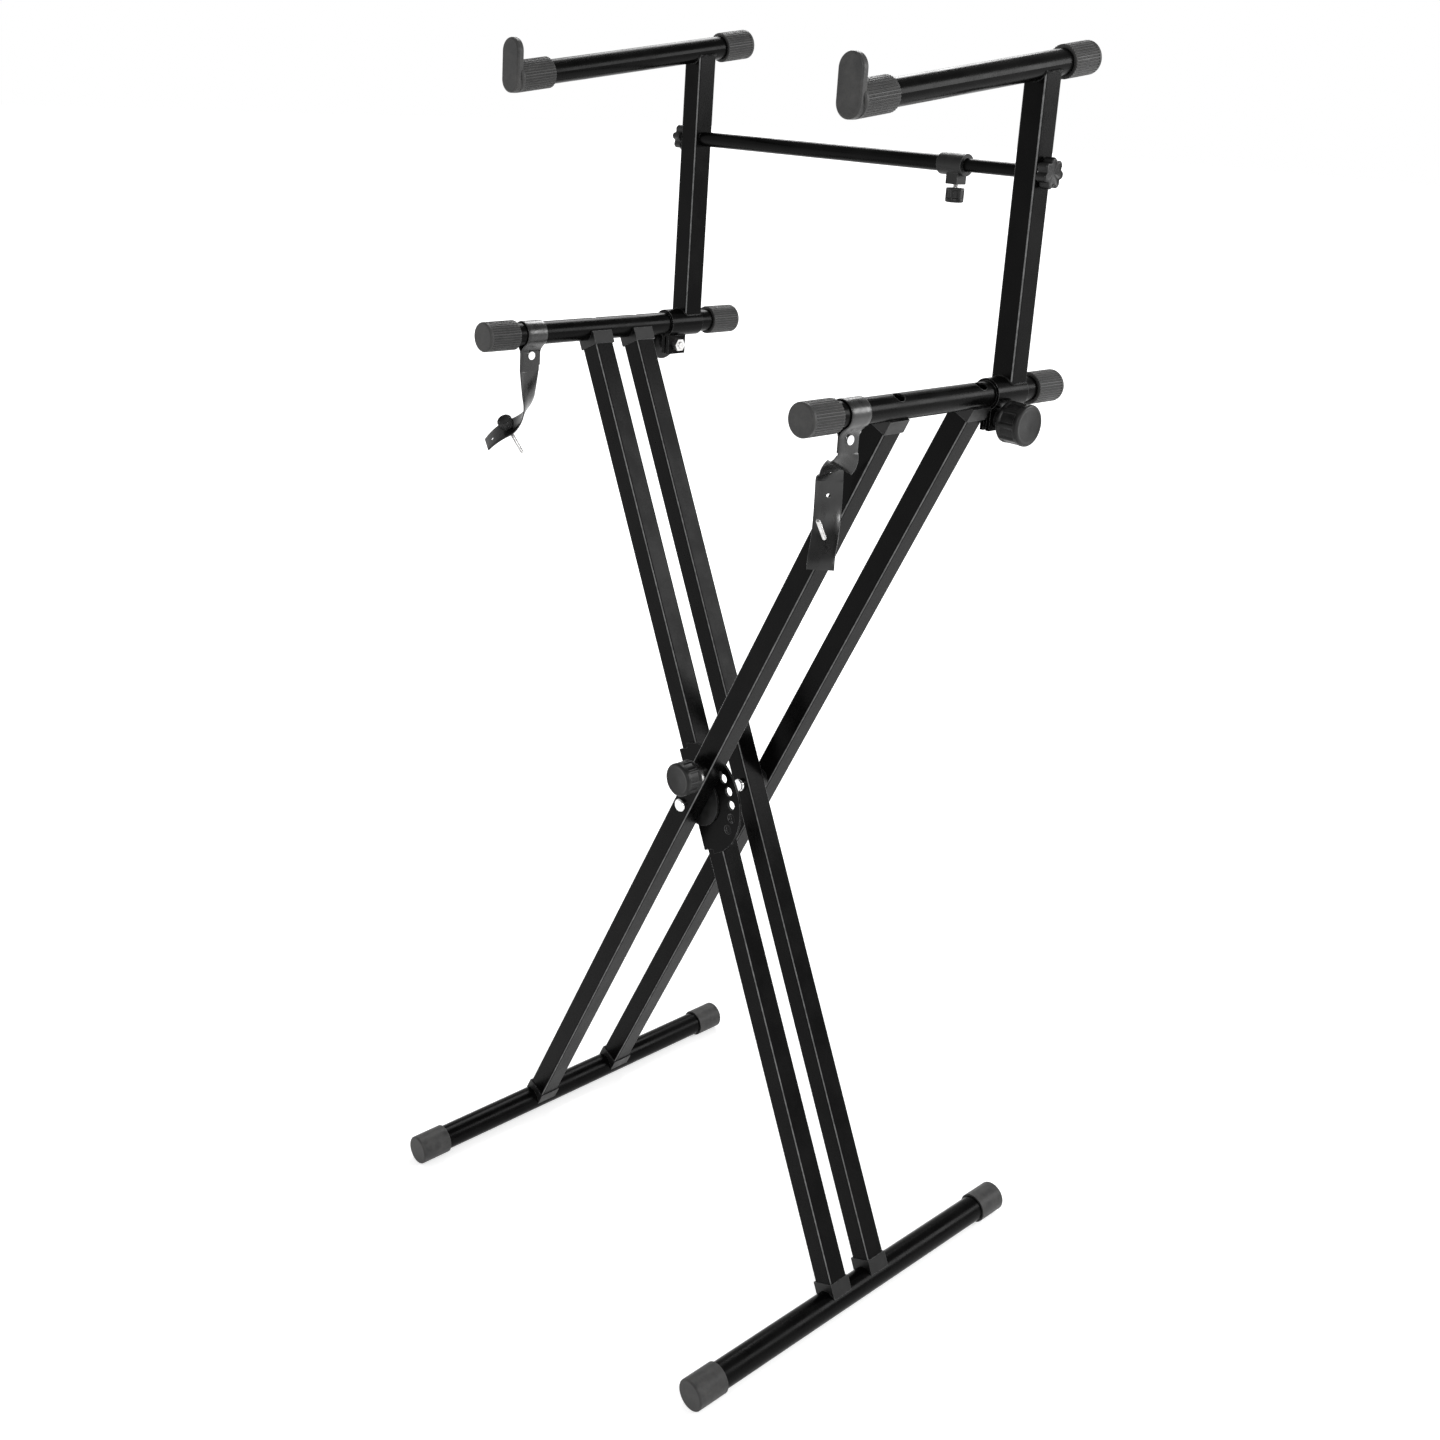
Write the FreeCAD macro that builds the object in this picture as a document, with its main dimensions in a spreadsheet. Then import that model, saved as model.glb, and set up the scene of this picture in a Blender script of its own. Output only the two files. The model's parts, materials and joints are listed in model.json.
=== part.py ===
import FreeCAD, Part
import math
import os
import Sketcher

# Two-tier folding keyboard stand: a double-braced X frame with a second tier on top.
# X runs from the left support bar to the right one, Y from front to back, Z is up.
# The origin is on the floor, midway between the four legs, under the pivot.
#
# The outer frame holds the two outer legs, the left foot bar and the right support bar.
# The inner frame holds the two inner legs, the right foot bar and the left support bar.

V = FreeCAD.Vector
RIGHT, BACK, UP = V(1, 0, 0), V(0, 1, 0), V(0, 0, 1)
SIDES = (("left", -1), ("right", 1))
ENDS = (("front", -1), ("back", 1))

os.makedirs("parts", exist_ok=True)
doc = FreeCAD.newDocument("keyboard_stand")


# ---------------------------------------------------------------- driving dimensions

DRIVING = [
    # the X frame
    ("foot_reach", 558, "pivot axis to foot bar axis, along a leg"),
    ("bar_reach", 534, "pivot axis to support bar axis, along a leg"),
    ("half_spread", 25.85, "each leg's angle from upright in the first locking hole, degrees"),
    ("outer_leg_y", 60, "centre plane to an outer leg's axis"),
    ("inner_leg_y", 30, "centre plane to an inner leg's axis"),
    ("tube_side", 25, "square tube, outside"),
    ("tube_wall", 1.5, "square tube wall"),
    ("tube_corner", 2.5, "square tube outside corner radius"),
    ("round_wall", 1.5, "wall of every round bar and arm"),
    # bars and arms
    ("foot_dia", 28.5, "foot bar outside diameter"),
    ("foot_length", 482, "foot bar tube length"),
    ("bar_dia", 25, "support bar and upper arm outside diameter"),
    ("bar_length", 356, "support bar tube length"),
    ("arm_length", 324, "upper arm tube length"),
    ("arm_lead", 259, "upper arm: front end to the upright's axis"),
    ("arm_tilt", 8.5, "upper arm's rise towards the back, degrees"),
    # caps
    ("foot_cap_dia", 33, "foot cap outside diameter"),
    ("foot_grip", 34, "foot cap length over the tube"),
    ("foot_flat", 0.4, "depth of the flat that a foot cap stands on"),
    ("cap_dia", 32, "ribbed cap outside diameter"),
    ("cap_grip", 36, "ribbed cap length over the tube"),
    ("cap_end", 4, "thickness of every cap's closed end"),
    ("rib_groove", 1.8, "diameter of the grooves between a cap's ribs"),
    ("stop_grip", 40, "stop cap length over the upper arm"),
    ("stop_width", 28, "width of the upper tier's stop"),
    ("stop_rise", 25, "arm axis to the centre of the stop's round top"),
    ("stop_fall", 2, "arm axis to the centre of the stop's round bottom"),
    ("stop_thick", 7, "thickness of the stop"),
    # leg ends
    ("saddle_side", 27, "leg saddle, outside"),
    ("saddle_start", 6, "bar axis to the end of the saddle that straddles the bar"),
    ("saddle_floor", 8, "saddle thickness between the bar and the leg's cut end"),
    ("spigot_length", 20, "saddle spigot inside the leg"),
    ("saddle_bolt", 6, "saddle bolt shank diameter"),
    ("saddle_head", 11, "saddle bolt head diameter"),
    ("saddle_head_high", 5, "saddle bolt head height"),
    ("access_dia", 12.5, "hole that lets the saddle bolt into the bar"),
    # pivot
    ("pivot_dia", 8, "pivot bolt shank diameter"),
    ("pivot_head", 14.5, "pivot bolt head diameter"),
    ("pivot_head_high", 4.5, "pivot bolt head height"),
    ("bush_dia", 12, "leg bush outside diameter"),
    ("washer_dia", 60, "front pivot spacer and locking plate hub outside diameter"),
    ("back_washer_dia", 24, "back pivot spacer outside diameter"),
    ("nut_flats", 13, "pivot and clamp nut across flats"),
    ("nut_high", 6.5, "pivot and clamp nut thickness"),
    ("bolt_over", 1.5, "bolt end beyond its nut"),
    # lock
    ("lock_radius", 49.3, "pivot axis to the locking holes"),
    ("lock_step", 17.5, "angle between locking holes, degrees"),
    ("lock_count", 6, "number of locking holes"),
    ("lock_hole", 10, "locking hole diameter"),
    ("pin_dia", 9.8, "locking pin diameter"),
    ("pin_stem", 7, "locking pin stem diameter"),
    ("pin_collar", 13.2, "locking pin collar diameter"),
    ("pin_collar_thick", 2.5, "locking pin collar thickness"),
    ("pin_front", 12, "outer leg's front face back to the pin's collar"),
    ("plate_radius", 62, "locking plate sector radius"),
    ("plate_thick", 2.5, "locking plate thickness"),
    ("plate_half", 57, "locking plate: pivot axis to either end, along the leg"),
    ("plate_flange", 12, "depth of the locking plate's side flanges"),
    ("flange_thick", 1.5, "thickness of the side flanges"),
    ("housing_dia", 16, "lock housing barrel diameter, inside the leg"),
    ("housing_bore", 13.8, "lock housing chamber diameter"),
    ("housing_deep", 21, "lock housing barrel length inside the leg"),
    ("flange_dia", 22, "lock housing flange diameter, outside the leg"),
    ("flange_high", 8, "lock housing flange height"),
    ("housing_roof", 3, "lock housing end wall"),
    ("spring_wire", 1, "lock spring wire diameter"),
    ("spring_dia", 10.4, "lock spring mean diameter"),
    ("spring_turns", 5, "lock spring turns"),
    ("lock_knob_dia", 36, "pull knob diameter"),
    ("lock_knob_lift", 9, "outer leg's face to the pull knob's rim, pin drawn"),
    ("lock_knob_thick", 20.5, "pull knob thickness"),
    ("lock_knob_recess", 9, "depth of the recess under the pull knob"),
    # second tier
    ("tier_y", 110, "centre plane to the upright's axis"),
    ("tier_height", 305, "support bar axis to upper arm axis, at the upright"),
    ("cross_height", 209, "support bar axis to the crossbar's axis"),
    ("sleeve_dia", 31, "clamp sleeve outside diameter"),
    ("sleeve_length", 47, "clamp sleeve length"),
    ("sleeve_behind", 13, "upright's axis to the sleeve's back end"),
    ("ear_length", 26, "clamp ear length, along the bar"),
    ("ear_width", 11, "both clamp ears and the slit between them"),
    ("ear_drop", 36, "bar axis to the bottom of the ears"),
    ("slit_width", 3, "slit in the clamp sleeve"),
    ("clamp_drop", 25, "bar axis to the clamp stud's axis"),
    ("clamp_ahead", 18, "clamp stud's axis ahead of the upright's axis"),
    ("stud_dia", 8, "clamp and star knob stud diameter"),
    ("clamp_hub_dia", 18, "clamp knob hub diameter"),
    ("clamp_hub_length", 12, "clamp knob hub length"),
    ("clamp_knob_dia", 41, "clamp knob diameter"),
    ("clamp_knob_thick", 25, "clamp knob thickness"),
    ("cope", 5, "upright's sides stop this far below the upper arm's axis"),
    # crossbar
    ("cross_dia", 16, "outer crossbar tube outside diameter"),
    ("cross_wall", 1.2, "crossbar tube walls"),
    ("cross_length", 358, "outer crossbar tube length"),
    ("slim_dia", 13, "inner crossbar tube outside diameter"),
    ("slim_room", 33.5, "room for the inner crossbar tube to slide in, in the first locking hole"),
    ("cross_plug", 12, "solid threaded end of either crossbar tube"),
    ("collar_dia", 21.5, "crossbar collar diameter"),
    ("collar_length", 30, "crossbar collar length"),
    ("collar_grip", 12, "crossbar collar length over the outer tube"),
    ("lug_length", 14, "collar lug length"),
    ("lug_width", 14, "collar lug width"),
    ("lug_drop", 19, "crossbar axis to the bottom of the collar's lug"),
    ("lug_start", 11, "collar's left end to its lug"),
    ("set_screw", 5, "collar screw diameter"),
    ("set_gap", 3.5, "collar lug to its knob"),
    ("collar_knob_dia", 18, "collar knob diameter"),
    ("collar_knob_high", 14, "collar knob height"),
    ("star_dia", 30, "star knob diameter"),
    ("star_thick", 11, "star knob thickness"),
    ("star_scallop", 9, "diameter of the hollows between a star knob's lobes"),
    ("star_washer", 20, "star knob washer diameter"),
    ("star_washer_thick", 1.5, "star knob washer thickness"),
    # straps
    ("strap_width", 26, "strap width"),
    ("strap_thick", 1.5, "strap thickness"),
    ("strap_y", 118, "centre plane to the strap loop's middle"),
    ("strap_lap", 22, "strap length that is doubled under its loop"),
    ("rivet_dia", 6, "strap rivet shank diameter"),
    ("rivet_head", 9, "strap rivet head diameter"),
    ("rivet_head_high", 1.6, "strap rivet head height"),
    ("thumb_dia", 17, "strap thumb knob diameter"),
    ("thumb_thick", 10, "strap thumb knob thickness"),
    ("thumb_neck_dia", 7, "strap thumb knob neck diameter"),
    ("thumb_neck", 3, "strap thumb knob neck length"),
    ("neck_gap", 0.6, "strap thumb knob neck to the curved strap"),
    ("thumb_screw", 4, "strap thumb screw diameter"),
    ("thumb_reach", 43, "strap thumb screw length beyond the strap"),
    # fits
    ("snug", 0.1, "gap of pieces that are pushed on or seated, on the radius"),
    ("running", 0.1, "running clearance, on the radius or face"),
    ("loose", 0.3, "gap round pieces that slide or swing freely"),
    ("overlap", 1, "how far the blocks of one solid reach into each other"),
]


class Size:
    """A length, an angle or a count: its number, and the formula that the document keeps."""

    def __init__(self, value, formula):
        self.value = value
        self.formula = formula

    def __add__(self, other):
        return Size(self.value + number(other), "(%s + %s)" % (self.formula, formula(other)))

    def __sub__(self, other):
        return Size(self.value - number(other), "(%s - %s)" % (self.formula, formula(other)))

    def __mul__(self, other):
        return Size(self.value * number(other), "(%s * %s)" % (self.formula, formula(other)))

    def __truediv__(self, other):
        return Size(self.value / number(other), "(%s / %s)" % (self.formula, formula(other)))

    def __neg__(self):
        return Size(-self.value, "(0 - %s)" % self.formula)


def number(size):
    return size.value if isinstance(size, Size) else float(size)


def formula(size):
    return size.formula if isinstance(size, Size) else repr(size)


def root(size):
    return Size(math.sqrt(size.value), "sqrt(%s)" % size.formula)


def sine(angle):
    return Size(math.sin(math.radians(angle.value)), "sin(%s * 1 deg)" % angle.formula)


class Dimensions:
    """The driving dimensions by name, each one bound to its cell of the spreadsheet."""

    def __init__(self, rows):
        sheet = doc.addObject("Spreadsheet::Sheet", "Dimensions")
        for row, (name, value, note) in enumerate(rows, start=1):
            sheet.set("A%d" % row, name)
            sheet.set("B%d" % row, str(value))
            sheet.set("C%d" % row, note)
            sheet.setAlias("B%d" % row, name)
            setattr(self, name, Size(value, "<<Dimensions>>." + name))
        doc.recompute()


dim = Dimensions(DRIVING)

# sizes that several sub-parts share
foot_radius = dim.foot_dia / 2
bar_radius = dim.bar_dia / 2
half_tube = dim.tube_side / 2
foot_seat = foot_radius + dim.saddle_floor
bar_seat = bar_radius + dim.saddle_floor
leg_pivot = dim.foot_reach - foot_seat
leg_length = leg_pivot + dim.bar_reach - bar_seat
sleeve_radius = dim.sleeve_dia / 2
leg_gap = dim.outer_leg_y - dim.inner_leg_y - dim.tube_side
stud_hole = dim.stud_dia / 2 + dim.loose

# places in the stand's frame
spread = math.radians(number(dim.half_spread))
LEG_UP = {"outer": V(math.sin(spread), 0, math.cos(spread)), "inner": V(-math.sin(spread), 0, math.cos(spread))}
LEG_ACROSS = {name: BACK.cross(up) for name, up in LEG_UP.items()}
LEG_Y = {"outer": dim.outer_leg_y, "inner": dim.inner_leg_y}
FRAME_OF_FOOT = {"left": "outer", "right": "inner"}
FRAME_OF_BAR = {"left": "inner", "right": "outer"}
foot_z = number(dim.foot_cap_dia / 2 - dim.foot_flat)
pivot_z = foot_z + number(dim.foot_reach) * math.cos(spread)
PIVOT = V(0, 0, pivot_z)
FOOT_CENTRE = {side: PIVOT - LEG_UP[FRAME_OF_FOOT[side]] * number(dim.foot_reach) for side, sign in SIDES}
BAR_CENTRE = {side: PIVOT + LEG_UP[FRAME_OF_BAR[side]] * number(dim.bar_reach) for side, sign in SIDES}
tilt = math.radians(number(dim.arm_tilt))
ARM_BACK = V(0, math.cos(tilt), math.sin(tilt))
ARM_UP = V(0, -math.sin(tilt), math.cos(tilt))
CROSS_Z = number(dim.cross_height)


# ---------------------------------------------------------------- modelling helpers

nodes = []


def node(made, label):
    """Keep an object as a sub-part of the stand under its own label."""
    made.Label = label
    nodes.append(made)
    return made


def bind(made, prop, size):
    """Set a property and tie it to the spreadsheet."""
    setattr(made, prop, number(size))
    if isinstance(size, Size):
        made.setExpression(prop, size.formula)


def frame(origin, along, across):
    """Placement whose Z axis is along and whose X axis is across."""
    return FreeCAD.Placement(origin, FreeCAD.Rotation(across, along.cross(across), along, "ZXY"))


def new_body(name, placement):
    body = doc.addObject("PartDesign::Body", name)
    body.Placement = placement
    return body


def origin_feature(body, role):
    return next(feature for feature in body.Origin.OriginFeatures if feature.Role == role)


def sketch_on(body, role="XY_Plane"):
    sketch = body.newObject("Sketcher::SketchObject", body.Name + "_sketch")
    sketch.AttachmentSupport = [(origin_feature(body, role), "")]
    sketch.MapMode = "FlatFace"
    return sketch


def constrain(sketch, kind, *references):
    """Add a dimension to a sketch; the last reference is its size."""
    size = references[-1]
    index = sketch.addConstraint(Sketcher.Constraint(kind, *references[:-1], number(size)))
    if isinstance(size, Size):
        name = "%s_%d" % (kind, index)
        sketch.renameConstraint(index, name)
        sketch.setExpression("Constraints." + name, size.formula)


def circle(sketch, radius, across=0, up=0):
    centre = V(number(across), number(up), 0)
    index = sketch.addGeometry(Part.Circle(centre, UP, number(radius)), False)
    constrain(sketch, "Radius", index, radius)
    constrain(sketch, "DistanceX", -1, 1, index, 3, across)
    constrain(sketch, "DistanceY", -1, 1, index, 3, up)


def polygon(sketch, corners):
    """Closed outline through (across, up) corners, each tied to its own sizes."""
    points = [V(number(across), number(up), 0) for across, up in corners]
    count = len(points)
    lines = [sketch.addGeometry(Part.LineSegment(points[i], points[(i + 1) % count]), False) for i in range(count)]
    for i, line in enumerate(lines):
        sketch.addConstraint(Sketcher.Constraint("Coincident", line, 2, lines[(i + 1) % count], 1))
    for line, (across, up) in zip(lines, corners):
        constrain(sketch, "DistanceX", -1, 1, line, 1, across)
        constrain(sketch, "DistanceY", -1, 1, line, 1, up)


def rectangle(sketch, left, right, bottom, top):
    polygon(sketch, [(left, bottom), (right, bottom), (right, top), (left, top)])


def capsule(sketch, radius, low, high):
    """Upright outline with two round ends, centred at low and at high on the sketch's Y axis."""
    ends = []
    for middle, start in ((low, math.pi), (high, 0)):
        ring = Part.Circle(V(0, number(middle), 0), UP, number(radius))
        ends.append(sketch.addGeometry(Part.ArcOfCircle(ring, start, start + math.pi), False))
        constrain(sketch, "Radius", ends[-1], radius)
        constrain(sketch, "DistanceX", -1, 1, ends[-1], 3, 0)
        constrain(sketch, "DistanceY", -1, 1, ends[-1], 3, middle)
    bottom, top = ends
    for arc_from, arc_to, across, start, end in ((bottom, top, number(radius), low, high),
                                                 (top, bottom, -number(radius), high, low)):
        side = Part.LineSegment(V(across, number(start), 0), V(across, number(end), 0))
        line = sketch.addGeometry(side, False)
        sketch.addConstraint(Sketcher.Constraint("Tangent", arc_from, 2, line, 1))
        sketch.addConstraint(Sketcher.Constraint("Tangent", arc_to, 1, line, 2))


def square(sketch, side):
    rectangle(sketch, -(side / 2), side / 2, -(side / 2), side / 2)


def hexagon(sketch, flats):
    corner = flats / math.sqrt(3)
    half = flats / 2
    polygon(sketch, [(corner, 0), (corner / 2, half), (-(corner / 2), half),
                     (-corner, 0), (-(corner / 2), -half), (corner / 2, -half)])


def pad(body, sketch, length, symmetric=False, backwards=False):
    made = body.newObject("PartDesign::Pad", body.Name + "_pad")
    made.Profile = sketch
    bind(made, "Length", length)
    made.SideType = "Symmetric" if symmetric else "One side"
    made.Reversed = backwards
    return made


def pocket(body, sketch, depth=None, symmetric=False, forwards=False):
    """Cut a sketch out: against its plane's normal, along it, or both ways; right through without a depth."""
    made = body.newObject("PartDesign::Pocket", body.Name + "_pocket")
    made.Profile = sketch
    made.SideType = "Symmetric" if symmetric else "One side"
    made.Reversed = forwards
    if depth is None:
        made.Type = "ThroughAll"
    else:
        bind(made, "Length", depth)
    return made


def polar(body, feature, count):
    """Repeat a feature round the body's Z axis."""
    made = body.newObject("PartDesign::PolarPattern", body.Name + "_pattern")
    made.Originals = [feature]
    made.Axis = (origin_feature(body, "Z_Axis"), [""])
    made.Angle = 360
    made.Occurrences = count
    body.Tip = made
    return made


def fillet(body, radius, wanted):
    """Round the edges of the body's last feature that the test wants."""
    doc.recompute()
    base = body.Tip
    names = ["Edge%d" % i for i, edge in enumerate(base.Shape.Edges, start=1) if wanted(edge)]
    made = body.newObject("PartDesign::Fillet", body.Name + "_fillet")
    made.Base = (base, names)
    bind(made, "Radius", radius)
    return made


def upright_edge(edge):
    """True for an edge that runs along the body's Z axis."""
    if not isinstance(edge.Curve, Part.Line):
        return False
    return abs(edge.Curve.Direction.z) > 0.999


def rim_at(height, radius):
    """Test for the round edge of the given radius at the given height on the body's Z axis."""
    def test(edge):
        if not isinstance(edge.Curve, Part.Circle):
            return False
        level = abs(edge.Curve.Center.z - number(height)) < 0.01
        return level and abs(edge.Curve.Radius - number(radius)) < 0.01
    return test


def edge_at(height):
    """Test for the edges that lie flat at the given height on the body's Z axis."""
    def test(edge):
        return all(abs(vertex.Point.z - number(height)) < 0.01 for vertex in edge.Vertexes)
    return test


def cylinder(name, radius, length, start, along):
    made = doc.addObject("Part::Cylinder", name)
    bind(made, "Radius", radius)
    bind(made, "Height", length)
    made.Placement = FreeCAD.Placement(start, FreeCAD.Rotation(UP, along))
    return made


def box(name, length, width, height, placement):
    """Box that is centred on its placement's Z axis and rises from its XY plane."""
    made = doc.addObject("Part::Box", name)
    bind(made, "Length", length)
    bind(made, "Width", width)
    bind(made, "Height", height)
    centred = FreeCAD.Placement(V(-number(length) / 2, -number(width) / 2, 0), FreeCAD.Rotation())
    made.Placement = placement * centred
    return made


def joined(name, pieces):
    made = doc.addObject("Part::MultiFuse", name)
    made.Shapes = pieces
    return made


def cut(name, base, tools):
    made = doc.addObject("Part::Cut", name)
    made.Base = base
    made.Tool = tools[0] if len(tools) == 1 else joined(name + "_tools", tools)
    return made


def group(label, pieces):
    """Several separate solids that make one sub-part."""
    made = doc.addObject("Part::Compound", label)
    made.Links = pieces
    return node(made, label)


# ---------------------------------------------------------------- X frame

def square_tube(name, length, placement):
    body = new_body(name, placement)
    outline = sketch_on(body)
    square(outline, dim.tube_side)
    pad(body, outline, length)
    fillet(body, dim.tube_corner, upright_edge)
    hollow = sketch_on(body)
    square(hollow, dim.tube_side - dim.tube_wall * 2)
    pocket(body, hollow, symmetric=True)
    return body


def round_tube(name, radius, wall, length, placement, symmetric=False):
    body = new_body(name, placement)
    ring = sketch_on(body)
    circle(ring, radius)
    circle(ring, radius - wall)
    pad(body, ring, length, symmetric=symmetric)
    return body


def leg(frame_name, end, sign):
    up = LEG_UP[frame_name]
    start = PIVOT - up * number(leg_pivot) + BACK * (sign * number(LEG_Y[frame_name]))
    body = square_tube("%s_leg_%s" % (frame_name, end), leg_length, frame(start, up, LEG_ACROSS[frame_name]))
    bore = sketch_on(body, "XZ_Plane")
    circle(bore, dim.bush_dia / 2 + dim.snug, 0, leg_pivot)
    pocket(body, bore, symmetric=True)
    if body.Name == "outer_leg_front":
        lock_height = leg_pivot + dim.lock_radius
        housing_hole = sketch_on(body, "XZ_Plane")
        circle(housing_hole, dim.housing_dia / 2 + dim.snug, 0, lock_height)
        pocket(body, housing_hole, dim.tube_side, forwards=True)
        pin_hole = sketch_on(body, "XZ_Plane")
        circle(pin_hole, dim.pin_dia / 2 + dim.running, 0, lock_height)
        pocket(body, pin_hole, dim.tube_side)
    node(body, body.Name)


def cross_tube(name, centre, frame_name, radius, length, leg_side):
    """Foot or support bar, with the two saddle bolts' holes in line with the legs."""
    placement = frame(centre, BACK, LEG_UP[frame_name])
    body = round_tube(name, radius, dim.round_wall, length, placement, symmetric=True)
    shank_holes = sketch_on(body, "YZ_Plane")
    access_holes = sketch_on(body, "YZ_Plane")
    for end, sign in ENDS:
        circle(shank_holes, dim.saddle_bolt / 2 + dim.snug, 0, LEG_Y[frame_name] * sign)
        circle(access_holes, dim.access_dia / 2, 0, LEG_Y[frame_name] * sign)
    pocket(body, shank_holes, dim.foot_dia, forwards=leg_side > 0)
    pocket(body, access_holes, dim.foot_dia, forwards=leg_side < 0)
    node(body, name)


def bar_ends(frame_name):
    """The two bars that a frame's legs run between: centre, direction to the legs, bar radius."""
    foot = next(side for side in FRAME_OF_FOOT if FRAME_OF_FOOT[side] == frame_name)
    bar = next(side for side in FRAME_OF_BAR if FRAME_OF_BAR[side] == frame_name)
    up = LEG_UP[frame_name]
    return [(FOOT_CENTRE[foot], up, foot_radius), (BAR_CENTRE[bar], -up, bar_radius)]


def saddle(name, centre, towards, radius, placement):
    """Block between a bar and a leg's cut end, with a spigot inside the leg."""
    seat = radius + dim.saddle_floor
    spigot_side = dim.tube_side - dim.tube_wall * 2 - dim.snug * 2
    block_start = placement * FreeCAD.Placement(UP * number(dim.saddle_start), FreeCAD.Rotation())
    spigot_start = placement * FreeCAD.Placement(UP * number(seat - dim.overlap), FreeCAD.Rotation())
    block = box(name + "_block", dim.saddle_side, dim.saddle_side, seat - dim.saddle_start, block_start)
    spigot = box(name + "_spigot", spigot_side, spigot_side, dim.spigot_length + dim.overlap, spigot_start)
    reach = dim.tube_side * 2
    bar_space = cylinder(name + "_bar", radius + dim.snug, reach, centre - BACK * (number(reach) / 2), BACK)
    bolt_space = cylinder(name + "_bore", dim.saddle_bolt / 2 + dim.snug, reach, centre, towards)
    return cut(name, joined(name + "_solid", [block, spigot]), [bar_space, bolt_space])


def saddle_bolt(name, centre, towards, radius):
    """Bolt whose head sits inside the bar, against the wall that the leg stands on."""
    head_radius = dim.saddle_head / 2
    inside = radius - dim.round_wall
    head_seat = root(inside * inside - head_radius * head_radius) - dim.snug
    head_start = centre + towards * (number(head_seat) - number(dim.saddle_head_high))
    shank_length = radius + dim.saddle_floor + dim.spigot_length - head_seat
    head = cylinder(name + "_head", head_radius, dim.saddle_head_high, head_start, towards)
    shank = cylinder(name + "_shank", dim.saddle_bolt / 2, shank_length, centre + towards * number(head_seat), towards)
    return joined(name, [head, shank])


def leg_ends(frame_name):
    saddles = []
    bolts = []
    for centre, towards, radius in bar_ends(frame_name):
        for end, sign in ENDS:
            at_leg = centre + BACK * (sign * number(LEG_Y[frame_name]))
            name = "%s_saddle_%d" % (frame_name, len(saddles) + 1)
            placement = frame(at_leg, towards, BACK.cross(towards))
            saddles.append(saddle(name, at_leg, towards, radius, placement))
            bolts.append(saddle_bolt(name + "_bolt", at_leg, towards, radius))
    group(frame_name + "_leg_saddles", saddles)
    group(frame_name + "_saddle_bolts", bolts)


def leg_bushes(frame_name):
    bushes = []
    for end, sign in ENDS:
        middle = PIVOT + BACK * (sign * number(LEG_Y[frame_name]))
        name = "%s_bush_%s" % (frame_name, end)
        placement = frame(middle, BACK, RIGHT)
        wall = dim.bush_dia / 2 - dim.pivot_dia / 2 - dim.running
        bushes.append(round_tube(name, dim.bush_dia / 2, wall, dim.tube_side, placement, symmetric=True))
    group(frame_name + "_leg_bushes", bushes)


# ---------------------------------------------------------------- caps

def cap_body(name, placement, outer, tube_radius, grip, fit):
    """Round cap: its open end at the body's origin, its closed end outwards along Z."""
    body = new_body(name, placement)
    disc = sketch_on(body)
    circle(disc, outer)
    pad(body, disc, grip + dim.cap_end)
    fillet(body, dim.cap_end / 2, rim_at(grip + dim.cap_end, outer))
    bore = sketch_on(body)
    circle(bore, tube_radius + fit)
    pocket(body, bore, grip, forwards=True)
    return body


def ribbed(body, length):
    """Grooves along the outside of a cap, so that ribs stand between them."""
    groove = sketch_on(body)
    circle(groove, dim.rib_groove / 2, dim.cap_dia / 2 + dim.rib_groove / 6, 0)
    polar(body, pocket(body, groove, length, forwards=True), 36)


def foot_cap(side, end, sign):
    open_end = FOOT_CENTRE[side] + BACK * (sign * (number(dim.foot_length) / 2 - number(dim.foot_grip)))
    name = "%s_foot_cap_%s" % (side, end)
    placement = frame(open_end, BACK * sign, RIGHT)
    body = cap_body(name + "_round", placement, dim.foot_cap_dia / 2, foot_radius, dim.foot_grip, dim.snug)
    under = FOOT_CENTRE[side] + BACK * (sign * number(dim.foot_length) / 2) - UP * (foot_z + number(dim.foot_cap_dia))
    floor = box(name + "_floor", dim.foot_cap_dia, dim.foot_cap_dia * 3, dim.foot_cap_dia, frame(under, UP, RIGHT))
    node(cut(name + "_cut", body, [floor]), name)


def bar_cap(side, end, sign):
    open_end = BAR_CENTRE[side] + BACK * (sign * (number(dim.bar_length) / 2 - number(dim.cap_grip)))
    name = "%s_bar_cap_%s" % (side, end)
    placement = frame(open_end, BACK * sign, RIGHT)
    body = cap_body(name, placement, dim.cap_dia / 2, bar_radius, dim.cap_grip, dim.snug)
    ribbed(body, dim.cap_grip)
    node(body, name)


# ---------------------------------------------------------------- pivot

def pivot_bolt(name, start):
    body = new_body(name, frame(start, BACK, RIGHT))
    head = sketch_on(body)
    circle(head, dim.pivot_head / 2)
    pad(body, head, dim.pivot_head_high, backwards=True)
    fillet(body, dim.pivot_head_high / 2, rim_at(-dim.pivot_head_high, dim.pivot_head / 2))
    shank = sketch_on(body)
    circle(shank, dim.pivot_dia / 2)
    pad(body, shank, pivot_stack + dim.nut_high + dim.bolt_over)
    return body


def hex_nut(name, placement, bore):
    body = new_body(name, placement)
    outline = sketch_on(body)
    hexagon(outline, dim.nut_flats)
    circle(outline, bore)
    pad(body, outline, dim.nut_high)
    return body


# under the head: two legs, the gap between them, and one running clearance
pivot_stack = dim.tube_side * 2 + leg_gap + dim.running
outer_face = dim.outer_leg_y + half_tube
inner_face = dim.inner_leg_y + half_tube
BOLT_START = {"front": -number(outer_face), "back": number(dim.inner_leg_y - half_tube - dim.running)}


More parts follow.
